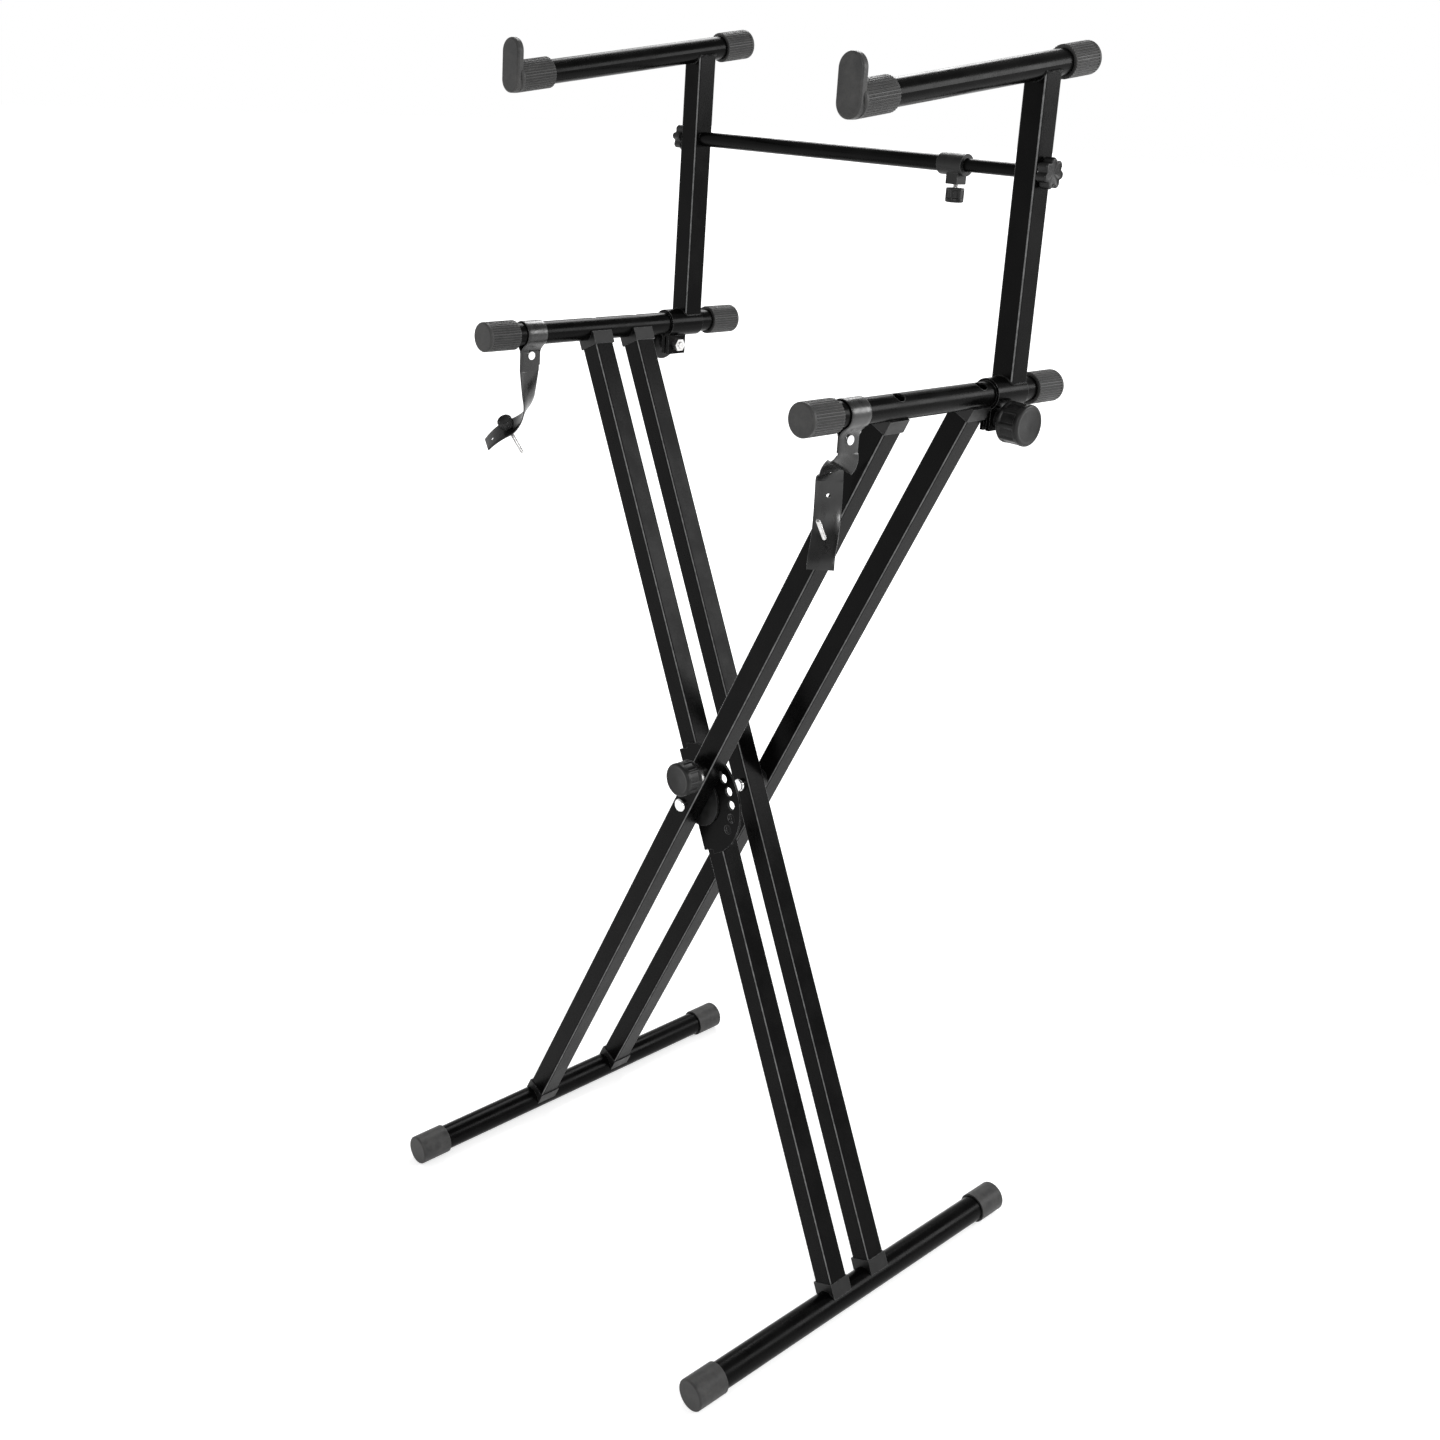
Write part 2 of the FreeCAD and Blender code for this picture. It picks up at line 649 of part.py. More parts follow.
def pivots():
    bolts = []
    nuts = []
    for end, sign in ENDS:
        start = PIVOT + BACK * BOLT_START[end]
        bolts.append(pivot_bolt("pivot_bolt_" + end, start))
        nut_start = frame(start + BACK * number(pivot_stack), BACK, RIGHT)
        nuts.append(hex_nut("pivot_nut_" + end, nut_start, dim.pivot_dia / 2 + dim.snug))
    group("pivot_bolts", bolts)
    group("pivot_nuts", nuts)


def pivot_spacers():
    """Discs on the outer legs' inner faces: the wide front one bears on the locking plate."""
    spacers = []
    front = (dim.plate_thick + dim.running, dim.washer_dia)
    back = (dim.running, dim.back_washer_dia)
    for (end, sign), (taken, diameter) in zip(ENDS, (front, back)):
        thickness = leg_gap - taken
        face = PIVOT + BACK * (sign * number(dim.outer_leg_y - half_tube))
        body = new_body("pivot_spacer_" + end, frame(face, BACK * -sign, RIGHT))
        ring = sketch_on(body)
        circle(ring, diameter / 2)
        circle(ring, dim.pivot_dia / 2 + dim.running)
        pad(body, ring, thickness)
        spacers.append(body)
    group("pivot_spacers", spacers)


# ---------------------------------------------------------------- lock

def toward(direction_deg):
    """Unit vector in the stand's front view, counted from right towards up."""
    angle = math.radians(direction_deg)
    return V(math.cos(angle), 0, math.sin(angle))


first_hole_deg = 90 - number(dim.half_spread)
LEG_FRONT = PIVOT - BACK * number(inner_face)
LOCK_FACE = PIVOT + LEG_UP["outer"] * number(dim.lock_radius) - BACK * number(outer_face)
FORWARD = -BACK


def locking_plate():
    """Plate on the inner front leg: a strip with side flanges, and a sector with the locking holes."""
    up = LEG_UP["inner"]
    across = LEG_ACROSS["inner"]
    length = dim.plate_half * 2
    low_end = LEG_FRONT - up * number(dim.plate_half)
    strip_width = dim.tube_side + dim.flange_thick * 2
    strip = box("plate_strip", strip_width, dim.plate_thick, length,
                frame(low_end - BACK * (number(dim.plate_thick) / 2), up, across))
    flanges = []
    for side, sign in SIDES:
        offset = across * (sign * number(half_tube + dim.flange_thick / 2))
        middle = low_end + offset + BACK * (number(dim.plate_flange - dim.overlap) / 2)
        flanges.append(box("plate_flange_" + side, dim.flange_thick, dim.plate_flange + dim.overlap, length,
                           frame(middle, up, across)))
    hub = cylinder("plate_hub", dim.washer_dia / 2, dim.plate_thick, LEG_FRONT, FORWARD)
    sector = cylinder("plate_sector", dim.plate_radius, dim.plate_thick, LEG_FRONT, FORWARD)
    sector.Placement = frame(LEG_FRONT, FORWARD, -up)
    sector.Angle = 180
    holes = [cylinder("plate_bore", dim.bush_dia / 2, dim.plate_thick * 2,
                      LEG_FRONT + BACK * (number(dim.plate_thick) / 2), FORWARD)]
    for i in range(int(number(dim.lock_count))):
        centre = LEG_FRONT + toward(first_hole_deg - i * number(dim.lock_step)) * number(dim.lock_radius)
        start = centre + BACK * (number(dim.plate_thick) / 2)
        holes.append(cylinder("lock_hole_%d" % (i + 1), dim.lock_hole / 2, dim.plate_thick * 2, start, FORWARD))
    plate = joined("plate_solid", [strip, hub, sector] + flanges)
    node(cut("plate_cut", plate, holes), "lock_plate")


def lock_housing():
    """Flanged barrel in the outer front leg, with the spring chamber and the stem's guide."""
    body = new_body("lock_housing_body", frame(LOCK_FACE, FORWARD, RIGHT))
    flange = sketch_on(body)
    circle(flange, dim.flange_dia / 2)
    pad(body, flange, dim.flange_high)
    fillet(body, dim.housing_roof / 2, rim_at(dim.flange_high, dim.flange_dia / 2))
    barrel = sketch_on(body)
    circle(barrel, dim.housing_dia / 2)
    pad(body, barrel, dim.housing_deep, backwards=True)
    chamber_below = sketch_on(body)
    circle(chamber_below, dim.housing_bore / 2)
    pocket(body, chamber_below)
    chamber_above = sketch_on(body)
    circle(chamber_above, dim.housing_bore / 2)
    pocket(body, chamber_above, dim.flange_high - dim.housing_roof, forwards=True)
    guide = sketch_on(body)
    circle(guide, dim.pin_stem / 2 + dim.running)
    pocket(body, guide, forwards=True)
    node(body, "lock_housing")


# the pin is drawn at rest: its tip clears the locking plate by the loose gap
pin_tip = half_tube * 2 + leg_gap - dim.plate_thick - dim.loose
collar_back = dim.pin_front - dim.pin_collar_thick


def lock_pin():
    tip = LOCK_FACE + BACK * number(pin_tip)
    body = new_body("lock_pin_body", frame(tip, FORWARD, RIGHT))
    shaft = sketch_on(body)
    circle(shaft, dim.pin_dia / 2)
    pad(body, shaft, pin_tip - dim.pin_front)
    fillet(body, dim.pin_dia / 8, rim_at(0, dim.pin_dia / 2))
    collar = cylinder("lock_pin_collar", dim.pin_collar / 2, dim.pin_collar_thick,
                      LOCK_FACE + BACK * number(dim.pin_front), FORWARD)
    stem_length = collar_back + dim.lock_knob_lift + dim.lock_knob_thick * 0.75
    stem = cylinder("lock_pin_stem", dim.pin_stem / 2, stem_length, LOCK_FACE + BACK * number(collar_back), FORWARD)
    node(joined("lock_pin_solid", [body, collar, stem]), "lock_pin")


def lock_spring():
    """Coil spring round the stem, between the pin's collar and the housing's end wall."""
    room = collar_back + dim.flange_high - dim.housing_roof
    height = room - dim.spring_wire - dim.loose
    coil = doc.addObject("Part::Helix", "lock_spring_path")
    bind(coil, "Radius", dim.spring_dia / 2)
    bind(coil, "Height", height)
    bind(coil, "Pitch", height / dim.spring_turns)
    wire = doc.addObject("Part::Circle", "lock_spring_wire")
    bind(wire, "Radius", dim.spring_wire / 2)
    wire.Placement = FreeCAD.Placement(V(number(dim.spring_dia) / 2, 0, 0), FreeCAD.Rotation(RIGHT, 90))
    spring = doc.addObject("Part::Sweep", "lock_spring_coil")
    spring.Sections = [wire]
    spring.Spine = (coil, ["Edge1"])
    spring.Solid = True
    spring.Frenet = True
    lift = number(collar_back) - (number(dim.spring_wire) + number(dim.loose)) / 2
    spring.Placement = frame(LOCK_FACE + BACK * lift, FORWARD, RIGHT)
    node(spring, "lock_spring")


def lock_knob():
    rim = LOCK_FACE + FORWARD * number(dim.lock_knob_lift)
    body = new_body("lock_knob_body", frame(rim, FORWARD, RIGHT))
    disc = sketch_on(body)
    circle(disc, dim.lock_knob_dia / 2)
    pad(body, disc, dim.lock_knob_thick)
    fillet(body, dim.lock_knob_thick / 10, rim_at(dim.lock_knob_thick, dim.lock_knob_dia / 2))
    recess = sketch_on(body)
    circle(recess, dim.flange_dia / 2 + dim.loose * 5)
    pocket(body, recess, dim.lock_knob_recess, forwards=True)
    bore = sketch_on(body)
    circle(bore, dim.pin_stem / 2 + dim.snug)
    pocket(body, bore, dim.lock_knob_thick * 0.75, forwards=True)
    node(body, "lock_knob")


# ---------------------------------------------------------------- second tier

def tier_point(side, height=0.0):
    """Point on an upright's axis, this high over its support bar."""
    return BAR_CENTRE[side] + V(0, number(dim.tier_y), height)


def clamp_axis(side):
    """Middle of the clamp stud's axis, under the front half of the sleeve."""
    return tier_point(side) - BACK * number(dim.clamp_ahead) - UP * number(dim.clamp_drop)


def clamp_sleeve(side, sign):
    """Split sleeve on the support bar, with two ears below for the clamp stud."""
    start = tier_point(side) + BACK * number(dim.sleeve_behind - dim.sleeve_length)
    barrel = cylinder(side + "_sleeve_barrel", sleeve_radius, dim.sleeve_length, start, BACK)
    ear_foot = clamp_axis(side) - UP * number(dim.ear_drop - dim.clamp_drop)
    ears = box(side + "_sleeve_ears", dim.ear_width, dim.ear_length, dim.ear_drop, frame(ear_foot, UP, RIGHT))
    bore = cylinder(side + "_sleeve_bore", bar_radius + dim.running, dim.sleeve_length, start, BACK)
    slit_foot = tier_point(side) - UP * (2 * number(dim.ear_drop))
    slit = box(side + "_sleeve_slit", dim.slit_width, dim.sleeve_length * 2, dim.ear_drop * 2,
               frame(slit_foot, UP, RIGHT))
    stud_space = cylinder(side + "_sleeve_stud", stud_hole, dim.ear_width * 2,
                          clamp_axis(side) - RIGHT * number(dim.ear_width), RIGHT)
    body = joined(side + "_sleeve_solid", [barrel, ears])
    node(cut(side + "_sleeve_cut", body, [bore, slit, stud_space]), side + "_clamp_sleeve")


def clamp_nut(side, sign):
    face = clamp_axis(side) - RIGHT * (sign * number(dim.ear_width / 2))
    nut = hex_nut(side + "_clamp_nut", frame(face, RIGHT * -sign, BACK), dim.stud_dia / 2 + dim.running)
    node(nut, nut.Name)


def knob_and_stud(label, knob, stud):
    """A plastic knob and the steel stud that is moulded into it."""
    group(label, [knob, stud])


def clamp_knob(side, sign):
    outwards = RIGHT * sign
    face = clamp_axis(side) + outwards * number(dim.ear_width / 2 + dim.running)
    total = dim.clamp_hub_length + dim.clamp_knob_thick
    body = new_body(side + "_clamp_knob_head", frame(face, outwards, BACK))
    hub = sketch_on(body)
    circle(hub, dim.clamp_hub_dia / 2)
    pad(body, hub, total - dim.overlap)
    disc = new_body(side + "_clamp_knob_disc", frame(face + outwards * number(dim.clamp_hub_length), outwards, BACK))
    outline = sketch_on(disc)
    circle(outline, dim.clamp_knob_dia / 2)
    pad(disc, outline, dim.clamp_knob_thick)
    fillet(disc, dim.clamp_knob_thick / 10, rim_at(dim.clamp_knob_thick, dim.clamp_knob_dia / 2))
    knob = joined(side + "_clamp_knob_solid", [body, disc])
    bore = cylinder(side + "_clamp_knob_bore", dim.stud_dia / 2, total / 2, face, outwards)
    knob = cut(side + "_clamp_knob_cut", knob, [bore])
    inner_end = face - outwards * number(dim.ear_width + dim.nut_high + dim.bolt_over + dim.running)
    stud_length = dim.ear_width + dim.nut_high + dim.bolt_over + dim.running + total / 2
    stud = cylinder(side + "_clamp_stud", dim.stud_dia / 2, stud_length, inner_end, outwards)
    knob_and_stud(side + "_clamp_knob", knob, stud)


def upright(side, sign):
    """Square tube, coped to the sleeve below and to the upper arm above."""
    foot_overlap = dim.saddle_floor
    start = tier_point(side, number(foot_overlap))
    tube = square_tube(side + "_upright_tube", dim.tier_height - foot_overlap - dim.cope, frame(start, UP, RIGHT))
    bore = sketch_on(tube, "YZ_Plane")
    circle(bore, stud_hole, 0, dim.cross_height - foot_overlap)
    pocket(tube, bore, symmetric=True)
    middle = tier_point(side)
    reach = dim.tube_side * 2
    sleeve_space = cylinder(side + "_upright_foot_cope", sleeve_radius + dim.snug, reach,
                            middle - BACK * (number(reach) / 2), BACK)
    arm_middle = tier_point(side, number(dim.tier_height))
    arm_space = cylinder(side + "_upright_top_cope", bar_radius + dim.snug, reach,
                         arm_middle - ARM_BACK * (number(reach) / 2), ARM_BACK)
    node(cut(side + "_upright_cut", tube, [sleeve_space, arm_space]), side + "_upright")


def arm_point(side, distance):
    """Point on an upper arm's axis, this far behind its upright."""
    return tier_point(side, number(dim.tier_height)) + ARM_BACK * distance


def upper_arm(side, sign):
    start = arm_point(side, -number(dim.arm_lead))
    body = round_tube(side + "_upper_arm", bar_radius, dim.round_wall, dim.arm_length,
                      frame(start, ARM_BACK, RIGHT))
    node(body, body.Name)


def arm_cap(side, sign):
    open_end = arm_point(side, number(dim.arm_length - dim.arm_lead - dim.cap_grip))
    name = side + "_arm_cap"
    body = cap_body(name, frame(open_end, ARM_BACK, RIGHT), dim.cap_dia / 2, bar_radius, dim.cap_grip, dim.snug)
    ribbed(body, dim.cap_grip)
    node(body, name)


def stop_cap(side, sign):
    """Ribbed cap with a stop that stands upright; it turns on the front end of the upper arm."""
    name = side + "_stop"
    open_end = arm_point(side, number(dim.stop_grip - dim.arm_lead))
    body = cap_body(name + "_cap", frame(open_end, -ARM_BACK, RIGHT), dim.cap_dia / 2, bar_radius,
                    dim.stop_grip, dim.running)
    ribbed(body, dim.stop_grip)
    front = arm_point(side, -number(dim.arm_lead + dim.cap_end / 2))
    plate = new_body(name + "_plate", frame(front, FORWARD, RIGHT))
    outline = sketch_on(plate)
    capsule(outline, dim.stop_width / 2, -dim.stop_fall, dim.stop_rise)
    pad(plate, outline, dim.stop_thick)
    fillet(plate, dim.stop_thick / 3, edge_at(dim.stop_thick))
    node(joined(name + "_solid", [body, plate]), name)


# ---------------------------------------------------------------- crossbar

def cross_point(x):
    return V(x, number(dim.tier_y), BAR_CENTRE["left"].z + CROSS_Z)


span = dim.bar_reach * sine(dim.half_spread) * 2 - dim.tube_side
half_span = number(span) / 2
slim_length = span - dim.cross_plug - dim.slim_room
slim_radius = dim.slim_dia / 2
cross_bore = dim.cross_dia / 2 - dim.cross_wall


def crossbar_tube(name, radius, bore, length, sign):
    """Tube whose solid threaded end stands against an upright's inner face."""
    body = new_body(name, frame(cross_point(sign * half_span), RIGHT * -sign, BACK))
    outline = sketch_on(body)
    circle(outline, radius)
    pad(body, outline, length)
    thread = sketch_on(body)
    circle(thread, dim.stud_dia / 2 + dim.running)
    pocket(body, thread, forwards=True)
    doc.recompute()
    blank = body
    start = cross_point(sign * (half_span - number(dim.cross_plug)))
    hollow = cylinder(name + "_hollow", bore, length, start, RIGHT * -sign)
    blank.Label = name + "_blank"
    node(cut(name + "_cut", blank, [hollow]), name)


def crossbar_collar():
    """Plastic collar on the outer tube's end, which guides the inner tube and holds the set screw."""
    start_x = -half_span + number(dim.cross_length - dim.collar_grip)
    start = cross_point(start_x)
    barrel = cylinder("collar_barrel", dim.collar_dia / 2, dim.collar_length, start, RIGHT)
    lug_middle = cross_point(start_x + number(dim.lug_start + dim.lug_length / 2))
    lug = box("collar_lug", dim.lug_length, dim.lug_width, dim.lug_drop,
              frame(lug_middle - UP * number(dim.lug_drop), UP, RIGHT))
    outer_space = cylinder("collar_outer_bore", dim.cross_dia / 2 + dim.snug, dim.collar_grip, start, RIGHT)
    inner_space = cylinder("collar_inner_bore", slim_radius + dim.loose, dim.collar_length, start, RIGHT)
    screw_middle = set_screw_point()
    screw_space = cylinder("collar_screw_bore", dim.set_screw / 2 + dim.running, dim.lug_drop * 2,
                           screw_middle, -UP)
    solid = joined("collar_solid", [barrel, lug])
    node(cut("collar_cut", solid, [outer_space, inner_space, screw_space]), "crossbar_collar")


def set_screw_point():
    """Where the set screw's axis meets the crossbar's: past the outer tube's end."""
    lug_end = number(dim.lug_start + dim.lug_length)
    room = (lug_end + number(dim.collar_grip)) / 2
    return cross_point(-half_span + number(dim.cross_length - dim.collar_grip) + room)


def collar_knob():
    axis_point = set_screw_point()
    tip_drop = slim_radius + dim.loose
    knob_drop = dim.lug_drop + dim.set_gap
    screw = cylinder("collar_screw", dim.set_screw / 2, knob_drop + dim.collar_knob_high / 2 - tip_drop,
                     axis_point - UP * number(tip_drop), -UP)
    body = new_body("collar_knob_head", frame(axis_point - UP * number(knob_drop), -UP, RIGHT))
    disc = sketch_on(body)
    circle(disc, dim.collar_knob_dia / 2)
    pad(body, disc, dim.collar_knob_high)
    fillet(body, dim.collar_knob_high / 10, rim_at(dim.collar_knob_high, dim.collar_knob_dia / 2))
    bore = sketch_on(body)
    circle(bore, dim.set_screw / 2)
    pocket(body, bore, dim.collar_knob_high / 2, forwards=True)
    knob_and_stud("collar_knob", body, screw)


def star_washer(side, sign):
    face = cross_point(sign * (half_span + number(dim.tube_side)))
    name = side + "_star_washer"
    wall = dim.star_washer / 2 - stud_hole
    body = round_tube(name, dim.star_washer / 2, wall, dim.star_washer_thick, frame(face, RIGHT * sign, BACK))
    node(body, name)


def star_knob(side, sign):
    outwards = RIGHT * sign
    lift = dim.star_washer_thick + dim.running
    face = cross_point(sign * (half_span + number(dim.tube_side + lift)))
    body = new_body(side + "_star_knob_head", frame(face, outwards, BACK))
    disc = sketch_on(body)
    circle(disc, dim.star_dia / 2)
    pad(body, disc, dim.star_thick)
    fillet(body, dim.star_thick / 6, rim_at(dim.star_thick, dim.star_dia / 2))
    bore = sketch_on(body)
    circle(bore, dim.stud_dia / 2)
    pocket(body, bore, dim.star_thick * 0.75, forwards=True)
    scallop = sketch_on(body)
    circle(scallop, dim.star_scallop / 2, dim.star_dia / 2 + dim.star_scallop / 4, 0)
    polar(body, pocket(body, scallop, forwards=True), 7)
    inner_end = cross_point(sign * (half_span - number(dim.cross_plug)))
    stud_length = dim.cross_plug + dim.tube_side + lift + dim.star_thick * 0.75
    stud = cylinder(side + "_star_stud", dim.stud_dia / 2, stud_length, inner_end, outwards)
    knob_and_stud(side + "_star_knob", body, stud)


# ---------------------------------------------------------------- straps

# Each strap hangs from its loop. A stretch is its length, its twist about its own line and its
# bend across its width, both in degrees.
STRAP_STRETCHES = {
    "left": [(26, 0, 0), (32, -24, 0), (43, -56, 64), (31, 13, -26)],
    "right": [(22, 0, 0), (24, 53, 78), (27, -50, -10), (17, 29, -56), (68, 16, -60), (18, -3, 42)],
}
STEP_COUNT = 10
SCREW_FROM_END = {"left": 33, "right": 35}
SPARE_HOLES_FROM_END = {"left": (10,), "right": (71, 98)}
strap_drop = bar_radius + dim.loose


class Station:
    """One section of a strap: its middle, the ways that the strap runs and across it, and the length so far."""

    def __init__(self, middle, along, across, travelled):
        self.middle = middle
        self.along = along
        self.across = across
        self.travelled = travelled

    def face(self):
        return self.along.cross(self.across)

    def moved(self, distance):
        return Station(self.middle + self.along * distance, self.along, self.across, self.travelled + distance)

    def turned(self, twist_deg, bend_deg):
        across = FreeCAD.Rotation(self.along, twist_deg).multVec(self.across)
        along = FreeCAD.Rotation(across, bend_deg).multVec(self.along)
        return Station(self.middle, along, across, self.travelled)

    def section(self):
        half_across = self.across * (number(dim.strap_width) / 2)
        half_thick = self.face() * (number(dim.strap_thick) / 2)
        corners = [self.middle + half_across + half_thick, self.middle - half_across + half_thick,
                   self.middle - half_across - half_thick, self.middle + half_across - half_thick]
        return Part.makePolygon(corners + corners[:1])


def strap_stations(side, sign):
    middle = BAR_CENTRE[side] - BACK * number(dim.strap_y) - UP * number(strap_drop)
    offset = RIGHT * (sign * number(dim.strap_thick) / 2)
    station = Station(middle + offset, -UP, BACK, 0)
    stations = [station]
    for length, twist, bend in STRAP_STRETCHES[side]:
        half_step = length / STEP_COUNT / 2
        for step in range(STEP_COUNT if twist or bend else 1):
            stride = half_step if twist or bend else length / 2
            turned = station.moved(stride).turned(twist / STEP_COUNT, bend / STEP_COUNT)
            station = turned.moved(stride)
            stations.append(station)
    return stations


def strap_place(side, sign, from_end):
    """The station of a strap that lies nearest to this length from its free end."""
    stations = strap_stations(side, sign)
    wanted = stations[-1].travelled - from_end
    return min(stations, key=lambda station: abs(station.travelled - wanted))


def strap_hole(name, station, radius):
    """Cutter for a round hole straight through a strap at a station."""
    reach = number(dim.strap_thick) * 4
    return cylinder(name, radius, dim.strap_thick * 8, station.middle - station.face() * reach, station.face())


def strap(side, sign):
    middle = BAR_CENTRE[side] - BACK * number(dim.strap_y)
    start = middle - BACK * (number(dim.strap_width) / 2)
    ring = cylinder(side + "_strap_ring", strap_drop + dim.strap_thick, dim.strap_width, start, BACK)
    lap_height = dim.strap_lap + dim.strap_thick
    lap_foot = middle - UP * number(strap_drop + dim.strap_lap)
    lap = box(side + "_strap_lap", dim.strap_thick * 2, dim.strap_width, lap_height, frame(lap_foot, UP, RIGHT))
    ribbon = doc.addObject("Part::Feature", side + "_strap_ribbon")
    ribbon.Shape = Part.makeLoft([station.section() for station in strap_stations(side, sign)], True, True)
    rivet_start = rivet_point(side) - RIGHT * (number(dim.strap_width) / 2)
    spaces = [cylinder(side + "_strap_bore", strap_drop, dim.strap_width, start, BACK),
              cylinder(side + "_strap_rivet_hole", dim.rivet_dia / 2 + dim.snug, dim.strap_width, rivet_start, RIGHT),
              strap_hole(side + "_strap_screw_hole", strap_place(side, sign, SCREW_FROM_END[side]),
                         dim.thumb_screw / 2 + dim.running)]
    for i, from_end in enumerate(SPARE_HOLES_FROM_END[side], start=1):
        station = strap_place(side, sign, from_end)
        spaces.append(strap_hole("%s_strap_hole_%d" % (side, i), station, dim.thumb_screw / 2))
    solid = joined(side + "_strap_solid", [ring, lap, ribbon])
    node(cut(side + "_strap_cut", solid, spaces), side + "_strap")


def rivet_point(side):
    drop = strap_drop + dim.strap_lap / 2
    return BAR_CENTRE[side] - BACK * number(dim.strap_y) - UP * number(drop)


def strap_rivet(side, sign):
    shank_length = dim.strap_thick * 2
    start = rivet_point(side) - RIGHT * number(dim.strap_thick)
    shank = cylinder(side + "_rivet_shank", dim.rivet_dia / 2, shank_length, start, RIGHT)
    pieces = [shank]
    for head_side, head_sign in SIDES:
        face = rivet_point(side) + RIGHT * (head_sign * number(dim.strap_thick))
        pieces.append(cylinder("%s_rivet_head_%s" % (side, head_side), dim.rivet_head / 2, dim.rivet_head_high,
                               face, RIGHT * head_sign))
    node(joined(side + "_rivet_solid", pieces), side + "_strap_rivet")


def thumb_screw(side, sign):
    """Thumb knob on a neck behind the strap, and its screw, which sticks out in front."""
    station = strap_place(side, sign, SCREW_FROM_END[side])
    way = station.face()
    across = station.across
    neck_face = station.middle - way * number(dim.strap_thick / 2 + dim.neck_gap)
    body = new_body(side + "_thumb_head", frame(neck_face - way * number(dim.thumb_neck), -way, across))
    disc = sketch_on(body)
    circle(disc, dim.thumb_dia / 2)
    pad(body, disc, dim.thumb_thick)
    fillet(body, dim.thumb_thick / 6, rim_at(dim.thumb_thick, dim.thumb_dia / 2))
    neck = sketch_on(body)
    circle(neck, dim.thumb_neck_dia / 2)
    pad(body, neck, dim.thumb_neck, backwards=True)
    bore_front = sketch_on(body)
    circle(bore_front, dim.thumb_screw / 2)
    pocket(body, bore_front, dim.thumb_neck)
    bore_back = sketch_on(body)
    circle(bore_back, dim.thumb_screw / 2)
    pocket(body, bore_back, dim.thumb_thick / 2, forwards=True)
    inside = dim.thumb_neck + dim.thumb_thick / 2
    screw = cylinder(side + "_thumb_shank", dim.thumb_screw / 2, dim.thumb_reach + inside,
                     neck_face - way * number(inside), way)
    knob_and_stud(side + "_thumb_screw", body, screw)


# ---------------------------------------------------------------- the whole stand

for frame_name in ("outer", "inner"):
    for end, sign in ENDS:
        leg(frame_name, end, sign)
    leg_ends(frame_name)
    leg_bushes(frame_name)

for side, sign in SIDES:
    cross_tube(side + "_foot_bar", FOOT_CENTRE[side], FRAME_OF_FOOT[side], foot_radius, dim.foot_length, 1)
    cross_tube(side + "_support_bar", BAR_CENTRE[side], FRAME_OF_BAR[side], bar_radius, dim.bar_length, -1)
    for end, end_sign in ENDS:
        foot_cap(side, end, end_sign)
        bar_cap(side, end, end_sign)

pivots()
pivot_spacers()
locking_plate()
lock_housing()
lock_pin()
lock_spring()
lock_knob()

for side, sign in SIDES:
    clamp_sleeve(side, sign)
    clamp_nut(side, sign)
    clamp_knob(side, sign)
    upright(side, sign)
    upper_arm(side, sign)
    arm_cap(side, sign)
    stop_cap(side, sign)
    star_washer(side, sign)
    star_knob(side, sign)
    strap(side, sign)
    strap_rivet(side, sign)
    thumb_screw(side, sign)

crossbar_tube("crossbar_outer_tube", dim.cross_dia / 2, cross_bore, dim.cross_length, -1)
crossbar_tube("crossbar_inner_tube", slim_radius, slim_radius - dim.cross_wall, slim_length, 1)
crossbar_collar()
collar_knob()

doc.recompute()

# ---------------------------------------------------------------- tests and export

for item in doc.Objects:
    if "Invalid" in item.State or "Error" in item.State:
        raise RuntimeError("%s did not build: %s" % (item.Label, item.State))

for item in nodes:
    shape = item.Shape
    if shape.isNull() or not shape.isValid() or not shape.Solids:
        raise RuntimeError("%s is not a valid solid" % item.Label)
    shape.exportStep("parts/%s.step" % item.Label)
    print("%-22s %d solids, %10.1f mm3" % (item.Label, len(shape.Solids), shape.Volume))

print(len(nodes), "nodes")
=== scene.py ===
import bpy, bmesh, json, math
from mathutils import Matrix, Vector


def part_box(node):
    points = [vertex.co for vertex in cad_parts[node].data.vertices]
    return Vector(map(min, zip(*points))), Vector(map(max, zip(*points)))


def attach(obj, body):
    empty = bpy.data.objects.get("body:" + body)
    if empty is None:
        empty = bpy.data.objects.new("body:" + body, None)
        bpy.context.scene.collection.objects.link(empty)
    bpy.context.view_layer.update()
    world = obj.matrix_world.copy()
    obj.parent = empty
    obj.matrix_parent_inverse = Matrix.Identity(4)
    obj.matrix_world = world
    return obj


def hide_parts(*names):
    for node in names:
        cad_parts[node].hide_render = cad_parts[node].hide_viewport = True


# Looks of the two-tier folding keyboard stand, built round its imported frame.

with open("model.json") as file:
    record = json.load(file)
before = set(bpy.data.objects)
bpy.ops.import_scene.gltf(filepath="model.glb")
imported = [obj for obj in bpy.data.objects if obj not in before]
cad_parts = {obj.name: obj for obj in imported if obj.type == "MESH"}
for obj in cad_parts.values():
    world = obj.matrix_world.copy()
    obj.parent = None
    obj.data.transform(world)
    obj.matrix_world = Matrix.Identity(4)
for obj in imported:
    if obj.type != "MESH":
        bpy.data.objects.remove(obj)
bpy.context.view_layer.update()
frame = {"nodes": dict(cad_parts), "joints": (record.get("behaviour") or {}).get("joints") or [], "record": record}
NODES = frame["nodes"]
JOINTS = {joint["name"]: joint for joint in frame["joints"]}
BODIES = frame["record"]["behaviour"]["bodies"]
BODY_OF_NODE = {node: body for body, nodes in BODIES.items() for node in nodes}
MM = 0.001
X, Y, Z = Vector((1, 0, 0)), Vector((0, 1, 0)), Vector((0, 0, 1))
SIDES = {"left": -1, "right": 1}


# ---------------------------------------------------------------- camera

